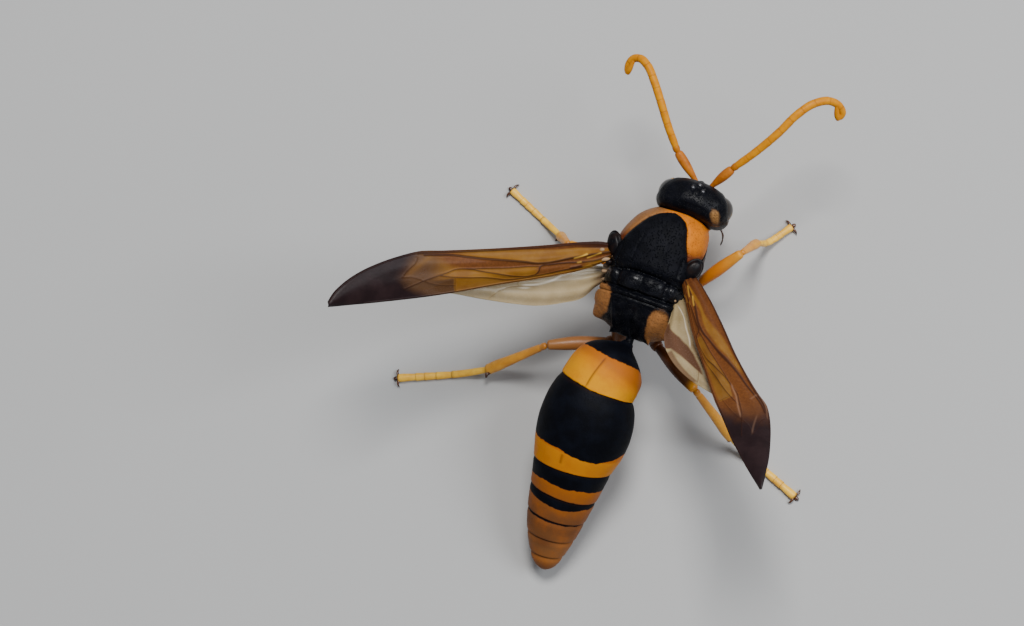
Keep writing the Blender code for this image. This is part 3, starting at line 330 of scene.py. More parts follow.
# Stage, in metres
CAMERA_NEAR = 0.01
FLOOR_HALF = 2.0
LAMP_TARGET = (0.0, 0.0, 0.005)
LAMPS = (                       # name, place, size, power and colour
    ("key_panel", (0.0, -0.15, 0.4), 0.13, 1.8, (1.0, 0.985, 0.96)),
    ("fill_panel", (-0.26, -0.1, 0.32), 0.2, 1.1, (0.95, 0.975, 1.0)),
)
SKY_COLOUR = (0.93, 0.95, 1.0)
SKY_STRENGTH = 0.25

# Colours
BLACK = (0.0022, 0.0025, 0.0042)
SOFT_BLACK = (0.0048, 0.0052, 0.0082)
ORANGE = (0.6, 0.175, 0.006)
DEEP_ORANGE = (0.4, 0.105, 0.008)
YELLOW = (0.64, 0.265, 0.0)
GOLD = (0.78, 0.34, 0.004)
TAN = (0.29, 0.125, 0.04)
RED_BROWN = (0.12, 0.03, 0.01)
LIP_SHADOW_BROWN = (0.022, 0.008, 0.005)
AMBER = (0.245, 0.11, 0.015)
SMOKE = (0.013, 0.007, 0.008)
PALE = (0.46, 0.352, 0.19)


def smooth_values(table, at):
    """Values at the places AT on smooth cubic curves through a table whose first column is the place."""
    data = np.array(table, dtype=float)
    place = data[:, 0]
    at = np.asarray(at, dtype=float)
    shape = at.shape
    at = np.clip(at.ravel(), place[0], place[-1])
    slopes = np.gradient(data[:, 1:], place, axis=0)
    low = np.clip(np.searchsorted(place, at, side="right") - 1, 0, len(place) - 2)
    step = (place[low + 1] - place[low])[:, None]
    t = ((at - place[low]) / step[:, 0])[:, None]
    start, end = data[low, 1:], data[low + 1, 1:]
    values = (start * (1 + 2 * t) * (1 - t) ** 2 + end * t * t * (3 - 2 * t)
              + slopes[low] * step * t * (1 - t) ** 2 - slopes[low + 1] * step * t * t * (1 - t))
    return values.reshape(*shape, -1)


def table_line(table, at):
    """Straight interpolation in a table of pairs."""
    data = np.array(table, dtype=float)
    return np.interp(at, data[:, 0], data[:, 1])


def ease(low, high, value):
    """0 below LOW, 1 above HIGH, and 3t^2 - 2t^3 between them."""
    t = np.clip((np.asarray(value, dtype=float) - low) / (high - low), 0.0, 1.0)
    return t * t * (3 - 2 * t)


def hill(value, width):
    """exp(-(value / width)^2): a soft ridge round zero."""
    return np.exp(-(np.asarray(value) / width) ** 2)


def window(low, high, value, soft):
    """1 between LOW and HIGH, easing to 0 over SOFT outside them."""
    return ease(low - soft, low, value) * (1 - ease(high, high + soft, value))


def unit(vector):
    """A vector, or each of many, at length 1."""
    vector = np.asarray(vector, dtype=float)
    return vector / np.linalg.norm(vector, axis=-1, keepdims=True)


def turn_about(axis, degrees):
    """Rotation matrix about x, y or z."""
    angle = math.radians(degrees)
    c, s = math.cos(angle), math.sin(angle)
    rows = {
        "x": ((1, 0, 0), (0, c, -s), (0, s, c)),
        "y": ((c, 0, s), (0, 1, 0), (-s, 0, c)),
        "z": ((c, -s, 0), (s, c, 0), (0, 0, 1)),
    }
    return np.array(rows[axis])


BODY_TURN = turn_about("x", -PITCH) @ turn_about("y", ROLL)
NECK_TURN = turn_about("z", FEELER_YAW)
HEAD_TURN = turn_about("z", HEAD_YAW) @ turn_about("y", HEAD_LEAN) @ turn_about("x", HEAD_NOD)


def from_body(points):
    """Points of the body's frame, over the floor."""
    return np.asarray(points, dtype=float) @ BODY_TURN.T + CENTRE


def from_head(points):
    """Points of the head's frame, over the floor."""
    return from_body(np.asarray(points, dtype=float) @ HEAD_TURN.T + np.array(HEAD_PLACE))


def from_neck(points):
    """Points given before the head nods and leans, over the floor."""
    return from_body(np.asarray(points, dtype=float) @ NECK_TURN.T + np.array(FEELER_PLACE))


def from_floor(points):
    """Points of the floor's frame, whose x and y count from under the body's centre."""
    return np.asarray(points, dtype=float) + np.array((CENTRE[0], CENTRE[1], 0.0))


def shares(count):
    """COUNT even shares from 0 to 1."""
    return np.linspace(0.0, 1.0, count)


def angles_round(sides):
    """Even angles round a section of SIDES corners."""
    return np.arange(sides) * 2 * math.pi / sides


def with_distance(points):
    """A table of points, each after its distance along the line through them."""
    points = np.array(points, dtype=float)
    reach = np.concatenate([[0.0], np.cumsum(np.linalg.norm(np.diff(points, axis=0), axis=1))])
    return np.column_stack([reach, points])


def smooth_path(points, count):
    """COUNT points at even distances on a smooth line through POINTS."""
    table = with_distance(points)
    return smooth_values(table, np.linspace(0.0, table[-1, 0], count))


def superoval(across, up, squareness):
    """Unit section |x|^s + |z|^s = 1 at the angles whose cosine and sine are given."""
    power = 2.0 / squareness
    return np.sign(across) * np.abs(across) ** power, np.sign(up) * np.abs(up) ** power


def outward_normals(grid):
    """Unit normals of a grid of rows that close round, by the cross product of its two directions."""
    along = np.gradient(grid, axis=0)
    around = (np.roll(grid, -1, axis=1) - np.roll(grid, 1, axis=1)) / 2
    normal = np.cross(around, along)
    length = np.linalg.norm(normal, axis=2, keepdims=True)
    normal = normal / np.maximum(length, 1e-12)
    away = grid - grid.mean(axis=1, keepdims=True)
    middle = len(grid) // 2
    if np.sum(normal[middle] * away[middle]) < 0:
        normal = -normal
    return normal


def carry(path, radii, sides, flat=1.0, lean=UP):
    """A round section carried along a path: ring = path + radius * (cos a * across + flat * sin a * over).

    ACROSS starts square to LEAN and is then turned as little as the path allows.
    """
    path = np.asarray(path, dtype=float)
    ahead = unit(np.gradient(path, axis=0))
    first = np.cross(ahead[0], lean)
    if np.linalg.norm(first) < 0.2:
        first = np.cross(ahead[0], (0.0, 1.0, 0.0))
    across = [unit(first)]
    for direction in ahead[1:]:
        side = across[-1] - np.dot(across[-1], direction) * direction
        across.append(unit(side))
    across = np.array(across)
    over = np.cross(ahead, across)
    angle = angles_round(sides)
    radii = np.broadcast_to(np.asarray(radii, dtype=float), (len(path),))[:, None, None]
    ring = (np.cos(angle)[None, :, None] * across[:, None, :]
            + flat * np.sin(angle)[None, :, None] * over[:, None, :])
    return path[:, None, :] + radii * ring


def rounded(count, table, ends):
    """COUNT radii along a limb: a smooth table of values, drawn in on a quarter circle at either end."""
    t = shares(count)
    values = smooth_values([(k / (len(table) - 1), value) for k, value in enumerate(table)], t)[:, 0]
    start = np.clip(t / ends[0], 0.0, 1.0) if ends[0] else np.ones(count)
    stop = np.clip((1.0 - t) / ends[1], 0.0, 1.0) if ends[1] else np.ones(count)
    cap = np.sqrt(np.maximum(1 - (1 - start) ** 2, 0.0)) * np.sqrt(np.maximum(1 - (1 - stop) ** 2, 0.0))
    return np.maximum(values * cap, 0.002)


def limb(points, count, scale, table, ends, sides, flat=1.0):
    """A rounded length along a smooth path, its radii SCALE times a table of values."""
    return carry(smooth_path(points, count), scale * rounded(count, table, ends), sides, flat)


def over_floor(grid):
    """The grid with nothing of it below the floor."""
    grid[..., 2] = np.maximum(grid[..., 2], 0.0)
    return grid


def egg(centre, radii, rows, sides, bend=0.0):
    """An egg shape in rows from pole to pole: centre + radii * unit sphere, its ends bent towards x = 0."""
    rise = np.linspace(0.5, rows - 0.5, rows) / rows * math.pi - math.pi / 2
    angle = angles_round(sides)
    x = np.cos(rise)[:, None] * np.cos(angle)
    y = np.cos(rise)[:, None] * np.sin(angle)
    z = np.sin(rise)[:, None] * np.ones(sides)
    ball = np.stack([x, y, z], axis=2)
    shift = -math.copysign(1.0, centre[0]) * bend * z * z
    return np.asarray(centre) + ball * np.asarray(radii) + np.stack([shift, 0 * z, 0 * z], axis=2)


def add_object(name, data, turn=None, place=(0.0, 0.0, 0.0)):
    """A new object of the scene, with the columns of TURN as its directions and PLACE in metres."""
    item = bpy.data.objects.new(name, data)
    bpy.context.scene.collection.objects.link(item)
    if turn is not None:
        item.matrix_world = Matrix([(*turn[k], place[k]) for k in range(3)] + [(0, 0, 0, 1)])
    return item


class Skin:
    """One piece's mesh, gathered from patches: each patch is a grid of points whose rows close round."""

    def __init__(self):
        self.points, self.quads, self.fans, self.fields = [], [], [], []
        self.count = 0

    def add(self, grid, **fields):
        """Adds rows by columns of points, with a fan of faces to a pole at either end, faces outwards.

        A field is one value for the patch, one for each row, or one for each point.
        """
        rows, sides = grid.shape[:2]
        index = np.arange(rows * sides).reshape(rows, sides)
        beside = np.roll(index, -1, axis=1)
        quads = np.stack([index[:-1], beside[:-1], beside[1:], index[1:]], axis=2).reshape(-1, 4)
        low, high = rows * sides, rows * sides + 1
        fans = np.concatenate([
            np.stack([np.full(sides, low), beside[0], index[0]], axis=1),
            np.stack([np.full(sides, high), index[-1], beside[-1]], axis=1),
        ])
        points = np.concatenate([grid.reshape(-1, 3), grid[:1].mean(axis=1), grid[-1:].mean(axis=1)])
        corners = points - points.mean(axis=0)
        a, b, c, d = (corners[quads[:, k]] for k in range(4))
        volume = np.sum(a * np.cross(b, c)) + np.sum(a * np.cross(c, d))
        e, f, g = (corners[fans[:, k]] for k in range(3))
        volume += np.sum(e * np.cross(f, g))
        if volume < 0:
            quads, fans = quads[:, ::-1], fans[:, ::-1]
        self.points.append(points)
        self.quads.append(quads + self.count)
        self.fans.append(fans + self.count)
        values = {}
        for name, value in fields.items():
            value = np.asarray(value, dtype=float)
            value = np.broadcast_to(value[:, None] if value.ndim == 1 else value, (rows, sides))
            values[name] = np.concatenate([value.ravel(), value[:1].mean(axis=1), value[-1:].mean(axis=1)])
        self.fields.append((len(points), values))
        self.count += len(points)

    def finish(self, name, material, slot, replaces=()):
        """Makes the object, smooth, riding on the body, in place of the solids that it covers."""
        points = np.concatenate(self.points) * MM
        quads, fans = np.concatenate(self.quads), np.concatenate(self.fans)
        mesh = bpy.data.meshes.new(name)
        mesh.vertices.add(len(points))
        mesh.vertices.foreach_set("co", points.ravel())
        mesh.loops.add(quads.size + fans.size)
        mesh.loops.foreach_set("vertex_index", np.concatenate([quads.ravel(), fans.ravel()]))
        mesh.polygons.add(len(quads) + len(fans))
        starts = np.concatenate([np.arange(len(quads)) * 4, quads.size + np.arange(len(fans)) * 3])
        mesh.polygons.foreach_set("loop_start", starts)
        mesh.update(calc_edges=True)
        mesh.shade_smooth()
        for field in sorted({key for _, values in self.fields for key in values}):
            whole = np.concatenate([values.get(field, np.zeros(count)) for count, values in self.fields])
            mesh.attributes.new(field, "FLOAT", "POINT").data.foreach_set("value", whole)
        mesh.materials.append(material)
        piece = add_object(name, mesh)
        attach(piece, "root")
        if replaces:
            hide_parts(*replaces)


class Value:
    """A shader socket that takes part in sums: each sum adds one Math node."""

    def __init__(self, paint, socket):
        self.paint = paint
        self.socket = socket

    def sum(self, operation, first, second):
        return self.paint.node("ShaderNodeMath", {"operation": operation}, {0: first, 1: second})

    def __add__(self, other):
        return self.sum("ADD", self, other)

    def __sub__(self, other):
        return self.sum("SUBTRACT", self, other)

    def __rsub__(self, other):
        return self.sum("SUBTRACT", other, self)

    def __mul__(self, other):
        return self.sum("MULTIPLY", self, other)

    def at_least(self, other):
        return self.sum("MAXIMUM", self, other)

    def at_most(self, other):
        return self.sum("MINIMUM", self, other)

    __radd__, __rmul__ = __add__, __mul__


class Paint:
    """One finish: a material whose nodes are written as sums and calls."""

    def __init__(self, name, **constants):
        self.material = bpy.data.materials.new(name)
        self.material.use_nodes = True
        self.tree = self.material.node_tree
        self.shader = self.tree.nodes["Principled BSDF"]
        self.fill(self.shader, constants)
        sockets = {0: self.node("ShaderNodeTexCoord", {}, {}, "Object"), "Scale": 1 / MM}
        self.place = self.node("ShaderNodeVectorMath", {"operation": "SCALE"}, sockets)

    def node(self, kind, settings, sockets, output=0):
        """Any node: its settings first, then its sockets."""
        node = self.tree.nodes.new(kind)
        for key, value in settings.items():
            setattr(node, key, value)
        self.fill(node, sockets)
        return Value(self, node.outputs[output])

    def fill(self, node, sockets):
        """Links or sets the sockets named by number, by identifier, or by name with _ for a space."""
        for key, value in sockets.items():
            same = [socket for socket in node.inputs if socket.identifier == key]
            socket = same[0] if same else node.inputs[key if isinstance(key, int) else key.replace("_", " ")]
            if isinstance(value, Value):
                self.tree.links.new(value.socket, socket)
            elif socket.type == "RGBA":
                socket.default_value = (*value, 1.0)
            else:
                socket.default_value = value

    def field(self, name):
        return self.node("ShaderNodeAttribute", {"attribute_name": name}, {}, "Fac")

    def noise(self, per_mm, detail, roughness=0.55):
        sockets = {"Vector": self.place, "Scale": per_mm, "Detail": detail, "Roughness": roughness}
        return self.node("ShaderNodeTexNoise", {}, sockets, "Fac")

    def cells(self, per_mm):
        return self.node("ShaderNodeTexVoronoi", {}, {"Vector": self.place, "Scale": per_mm}, "Distance")

    def ease(self, value, low, high):
        return self.node("ShaderNodeMapRange", {"interpolation_type": "SMOOTHSTEP"},
                         {"Value": value, "From Min": low, "From Max": high})

    def mix(self, factor, first, second):
        return self.node("ShaderNodeMix", {"data_type": "RGBA", "clamp_factor": True},
                         {"Factor_Float": factor, "A_Color": first, "B_Color": second}, 2)

    def vary(self, value, low, high, first, second):
        """FIRST where VALUE is below LOW and SECOND where it is above HIGH."""
        return self.mix(self.ease(value, low, high), first, second)

    def over(self, colour, name, tone, share=1.0):
        """TONE laid over COLOUR as far as the mesh's field NAME says, times SHARE."""
        return self.mix(self.field(name) * share, colour, tone)

    def finish(self, colour, roughness, height, depth, strength, **more):
        """Joins it all to the shader, with a relief whose full height is DEPTH millimetres."""
        bump = {"Height": height, "Distance": depth * MM, "Strength": strength}
        normal = self.node("ShaderNodeBump", {}, bump, "Normal")
        self.fill(self.shader, {"Base_Color": colour, "Roughness": roughness, "Normal": normal, **more})
        return self.material


def thorax_finish():
    """Velvety pitted black, an orange collar that browns at its hind corners, and tan patches at the rear."""
    paint = Paint("thorax_chitin", Specular_IOR_Level=0.07, Coat_Roughness=0.22, Coat_IOR=1.4)
    drift, fine = paint.noise(1.6, 4.0), paint.noise(9.0, 3.0)
    pits = paint.ease(paint.cells(7.5), 0.1, 0.42)
    wobble = (fine - 0.5) * 0.1
    collar = paint.ease(paint.field("collar") + wobble, -0.03, 0.05)
    spot = paint.ease(paint.field("spot") + (drift - 0.5) * 0.3 + wobble, -0.05, 0.09)
    rough = paint.field("rough")
    black = paint.vary(drift, 0.35, 0.7, BLACK, SOFT_BLACK)
    orange = paint.vary(drift, 0.25, 0.75, ORANGE, (0.46, 0.125, 0.006))
    # Painted shade: the collar's left side is dulled to tan-brown
    orange = paint.over(orange, "tan", (0.2, 0.1, 0.04))
    orange = paint.over(orange, "brown", RED_BROWN)
    tan = paint.vary(drift, 0.35, 0.85, TAN, (0.22, 0.085, 0.026))
    colour = paint.mix(spot, paint.mix(collar, black, orange), tan)
    # Painted shade: darker in the pits
    colour = paint.mix((1 - pits) * 0.35, colour, BLACK)
    bright = collar.at_least(spot)
    shine = 0.3 + paint.field("velvet") * 0.3 + bright * 0.1 + (fine - 0.5) * 0.22
    height = pits * (1 - bright * 0.75) + paint.noise(3.2, 5.0, 0.62) * rough * 1.6 + fine * 0.25
    gloss = paint.ease(rough, 0.45, 0.95) * paint.ease(drift, 0.35, 0.65) * 0.35 * (1 - bright)
    return paint.finish(colour, shine, height, 0.06, 0.9, Coat_Weight=gloss)


def head_finish():
    """Finely pitted satin black, with a tan patch behind each eye and orange lines beside the face."""
    paint = Paint("head_chitin", Specular_IOR_Level=0.08)
    drift, fine = paint.noise(1.9, 4.0), paint.noise(10.0, 3.0)
    pits = paint.ease(paint.cells(9.0), 0.1, 0.42)
    temple = paint.ease(paint.field("temple") + (drift - 0.5) * 0.4 + (fine - 0.5) * 0.22, -0.02, 0.16)
    orbit = paint.ease(paint.field("orbit") + (fine - 0.5) * 0.05, -0.02, 0.04)
    black = paint.vary(drift, 0.3, 0.75, BLACK, SOFT_BLACK)
    tan = paint.vary(fine, 0.35, 0.65, (0.28, 0.14, 0.046), (0.15, 0.072, 0.024))
    colour = paint.mix(orbit, paint.mix(temple, black, tan), ORANGE)
    shine = 0.34 + (fine - 0.5) * 0.24 + temple * 0.08
    return paint.finish(colour, shine, pits + fine * 0.35 + drift * 0.4, 0.04, 0.75)


def eye_finish():
    """Dark brown-grey facets under a clear coat, a little paler towards the rim."""
    paint = Paint("eye_lens", Specular_IOR_Level=0.12, Coat_Weight=0.3, Coat_Roughness=0.08)
    drift = paint.noise(1.3, 2.0)
    colour = paint.vary(drift, 0.3, 0.7, (0.008, 0.006, 0.0055), (0.022, 0.016, 0.013))
    colour = paint.over(colour, "rim", (0.075, 0.052, 0.038), 0.8)
    return paint.finish(colour, 0.22 + (drift - 0.5) * 0.12, 1 - paint.cells(24.0), 0.006, 0.5)


def glass_finish():
    """Small clear lens over a dark ground."""
    paint = Paint("ocellus_lens", Specular_IOR_Level=0.5, Coat_Weight=0.6, Coat_Roughness=0.05)
    drift = paint.noise(4.0, 2.0)
    colour = paint.mix(drift, (0.006, 0.006, 0.008), (0.045, 0.045, 0.055))
    return paint.finish(colour, 0.16 + drift * 0.08, drift, 0.003, 0.3)


def clypeus_finish():
    """Satin orange and gold, painted deeper orange in its pits as shade, and red-brown at the rim."""
    paint = Paint("clypeus_chitin", Specular_IOR_Level=0.5)
    drift = paint.noise(1.8, 4.0)
    pits = paint.ease(paint.cells(6.0), 0.08, 0.34)
    colour = paint.vary(drift, 0.3, 0.72, ORANGE, GOLD)
    # Painted shade: deeper orange in the pits
    colour = paint.mix((1 - pits) * 0.45, colour, DEEP_ORANGE)
    colour = paint.over(colour, "rim", RED_BROWN)
    return paint.finish(colour, 0.36 + (drift - 0.5) * 0.2, pits, 0.03, 0.7)


def claw_finish(name, dark, light):
    """Polished dark chitin that pales to red-brown where it is thin."""
    paint = Paint(name, Specular_IOR_Level=0.55)
    drift = paint.noise(3.5, 4.0)
    colour = paint.over(paint.vary(drift, 0.3, 0.75, dark, light), "tip", BLACK, 0.6)
    return paint.finish(colour, 0.22 + drift * 0.14, drift, 0.01, 0.5)


def feeler_finish():
    """Golden orange, browner on the scape and at each joint, with fine velvet."""
    paint = Paint("feeler_chitin", Specular_IOR_Level=0.12)
    drift, fine = paint.noise(2.2, 4.0), paint.noise(16.0, 2.0)
    gold = paint.vary(drift, 0.3, 0.75, (0.62, 0.245, 0.001), (0.5, 0.17, 0.001))
    scape = paint.vary(drift, 0.3, 0.7, (0.46, 0.145, 0.012), (0.3, 0.085, 0.01))
    colour = paint.over(gold, "scape", scape)
    colour = paint.over(colour, "joint", (0.2, 0.05, 0.006), 0.6)
    return paint.finish(colour, 0.4 + (fine - 0.5) * 0.3, fine + drift * 0.5, 0.012, 0.6)


def abdomen_finish():
    """Velvety black bands on orange that turns yellow towards the first margin and brown towards the tail."""
    paint = Paint("abdomen_chitin", Specular_IOR_Level=0.05)
    drift, fine = paint.noise(1.1, 4.0), paint.noise(11.0, 3.0)
    pits = paint.ease(paint.cells(9.0), 0.06, 0.3)
    wobble = (paint.noise(2.6, 3.0) - 0.5) * 0.2 + (fine - 0.5) * 0.03
    black = paint.ease(paint.field("black") + wobble, -0.025, 0.035)
    orange = paint.over((0.47, 0.13, 0.005), "yellow", YELLOW)
    orange = paint.over(orange, "brown", paint.over((0.118, 0.048, 0.02), "tail", (0.185, 0.083, 0.032)))
    orange = paint.mix(paint.ease(drift, 0.35, 0.85) * 0.45, orange, DEEP_ORANGE)
    orange = paint.over(orange, "stain", (0.06, 0.018, 0.01))
    dark = paint.vary(drift, 0.35, 0.75, BLACK, (0.0035, 0.0045, 0.0085))
    # Painted shadow: dark brown along each lip, where one plate overlaps the next
    colour = paint.over(paint.mix(black, orange, dark), "lip", LIP_SHADOW_BROWN, 0.55)
    shine = 0.44 + black * 0.1 + (fine - 0.5) * 0.16
    return paint.finish(colour, shine, pits * 0.6 + fine * 0.5, 0.02, 0.7)


def leg_finish():
    """Satin orange, yellower on the feet, brown or black towards the hips, darker at the joints."""
    paint = Paint("leg_chitin", Specular_IOR_Level=0.28)
    drift, fine = paint.noise(1.5, 4.0), paint.noise(13.0, 3.0)
    colour = paint.over(ORANGE, "yellow", (0.96, 0.585, 0.06))
    colour = paint.mix(paint.ease(drift, 0.32, 0.8) * 0.5, colour, (0.46, 0.135, 0.006))
    colour = paint.over(colour, "tan", (0.195, 0.08, 0.026))
    colour = paint.over(colour, "dark", (0.03, 0.008, 0.005))
    colour = paint.over(colour, "joint", (0.16, 0.042, 0.008), 0.7)
    height = fine + paint.ease(paint.cells(11.0), 0.05, 0.3) * 0.5
    return paint.finish(colour, 0.36 + (fine - 0.5) * 0.26, height, 0.016, 0.7)


def tegula_finish():
    """Glossy black-brown with a few pits, and painted pale highlights where the small plates are."""
    paint = Paint("tegula_chitin", Specular_IOR_Level=0.14)
    drift = paint.noise(2.4, 4.0)
    pits = paint.ease(paint.cells(5.0), 0.06, 0.26)
    colour = paint.vary(drift, 0.35, 0.75, BLACK, (0.012, 0.006, 0.005))
    # Painted highlight: pale on the small plates at the wing's root
    colour = paint.over(colour, "pale", (0.4, 0.26, 0.15))
    return paint.finish(colour, 0.3 + drift * 0.16, pits, 0.03, 0.6)


def forewing_finish():
    """Amber membrane with dark veins, smoky purple-brown towards the tip."""
    paint = Paint("forewing_membrane", Specular_IOR_Level=0.09)
    drift, fine = paint.noise(1.0, 4.0), paint.noise(7.0, 3.0)
    smoke = paint.ease(paint.field("smoke") + (drift - 0.5) * 0.9, -0.6, 0.7)
    vein, brown = paint.field("vein"), paint.field("brown")
    membrane = paint.vary(drift, 0.3, 0.75, AMBER, (0.185, 0.074, 0.009))
    membrane = paint.over(membrane, "dusk", (0.072, 0.034, 0.017), 0.95)
    reddish = paint.vary(fine, 0.3, 0.7, (0.13, 0.043, 0.013), (0.095, 0.029, 0.01))
    reddish = paint.over(reddish, "dusk", (0.085, 0.04, 0.02), 0.55)
    membrane = paint.over(paint.mix(brown, membrane, reddish), "deep", (0.022, 0.007, 0.005), 0.8)
    membrane = paint.mix(smoke, membrane, paint.vary(drift, 0.3, 0.75, SMOKE, (0.022, 0.012, 0.013)))
    colour = paint.mix(paint.ease(vein, 0.2, 0.8) * 0.8, membrane, (0.026, 0.009, 0.006))
    # Pale streaks on the right wing; the one along its front rim is a painted highlight
    colour = paint.over(colour, "streak", (0.3, 0.165, 0.1))
    # Painted highlight: golden glints near the root
    colour = paint.over(colour, "glint", (0.7, 0.4, 0.06), 0.8)
    clear = 0.86 + vein * 0.14 + smoke * 0.12 + brown * 0.12
    return paint.finish(colour, 0.38 + (fine - 0.5) * 0.16, fine + drift, 0.014, 0.6, Alpha=clear.at_most(1.0))


def hindwing_finish():
    """Clear beige membrane with thin brown veins and painted highlights along its ridges."""
    paint = Paint("hindwing_membrane", Specular_IOR_Level=0.3)
    drift, fine = paint.noise(1.2, 4.0), paint.noise(8.0, 3.0)
    vein, pale, dusk = (paint.field(name) for name in ("vein", "pale", "dusk"))
    membrane = paint.vary(drift, 0.3, 0.75, PALE, (0.385, 0.288, 0.142))
    membrane = paint.mix(dusk, membrane, (0.115, 0.054, 0.03))
    colour = paint.mix(paint.ease(vein, 0.25, 0.8) * 0.8, membrane, (0.09, 0.036, 0.016))
    # Painted highlight along the ridges
    colour = paint.mix(pale * 0.85, colour, (0.8, 0.73, 0.6))
    clear = 0.74 + vein * 0.26 + pale * 0.26 + dusk * 0.22
    return paint.finish(colour, 0.26 + (fine - 0.5) * 0.14, fine + drift, 0.012, 0.6, Alpha=clear.at_most(1.0))


def floor_finish():
    """Plain pale grey, barely uneven."""
    paint = Paint("pale_floor", Specular_IOR_Level=0.2)
    drift, grain = paint.noise(0.02, 3.0), paint.noise(0.8, 3.0)
    colour = paint.mix(drift, (0.405, 0.41, 0.412), (0.445, 0.445, 0.445))
    return paint.finish(colour, 0.75 + (grain - 0.5) * 0.1, grain, 0.02, 0.2)


def head_ring(height, angle):
    """Level section of the head at HEIGHT: |x / width|^s + |y / reach|^s = 1, hollow at the back."""
    row = smooth_values(HEAD, height)
    width, front, back = (row[..., k] for k in range(3))
    squareness = np.where(np.sin(angle) >= 0, HEAD_SQUARENESS[1], HEAD_SQUARENESS[0])
    x, y = superoval(np.cos(angle), np.sin(angle), squareness)
    x = width * x
    hollow = HEAD_HOLLOW * np.exp(-(x / HOLLOW_WIDTH) ** 2) * np.clip(y, 0, 1)
    hollow = hollow * (1 - 0.75 * ease(*HOLLOW_FADE, height))
    y = np.where(y >= 0, back * y - hollow, front * y)
    return x, y


def clear_of_head(points, margin):
    """Moves points of the body's frame back until they lie MARGIN behind the back of the head."""
    local = (points - np.array(HEAD_PLACE)) @ HEAD_TURN
    row = smooth_values(HEAD, local[..., 2])
    width, back = row[..., 0], row[..., 2]
    share = np.clip(np.abs(local[..., 0]) / (width + 0.05), 0.0, 1.0)
    rear = back * (1 - share ** HEAD_SQUARENESS[1]) ** (1 / HEAD_SQUARENESS[1])
    hollow = HEAD_HOLLOW * (1 - 0.75 * ease(*HOLLOW_FADE, local[..., 2]))
    rear = rear - hollow * np.exp(-(local[..., 0] / HOLLOW_WIDTH) ** 2) * np.clip(rear / back, 0, 1)
    inside = (np.abs(local[..., 2]) < 2.6) & (share < 1.0)
    local[..., 1] = np.where(inside, np.maximum(local[..., 1], rear + margin), local[..., 1])
    return local @ HEAD_TURN.T + np.array(HEAD_PLACE)


def pull_tooth(grid, root, tip, reach, side):
    """Draws the skin out into a tooth: p + (1 - distance / reach)^1.6 * (tip - root)."""
    flip = np.array((side, 1.0, 1.0))
    root, tip = np.array(root) * flip, np.array(tip) * flip
    distance = np.linalg.norm(grid - root, axis=2)
    weight = np.clip(1 - distance / reach, 0.0, 1.0) ** 1.6
    return grid + weight[..., None] * (tip - root)


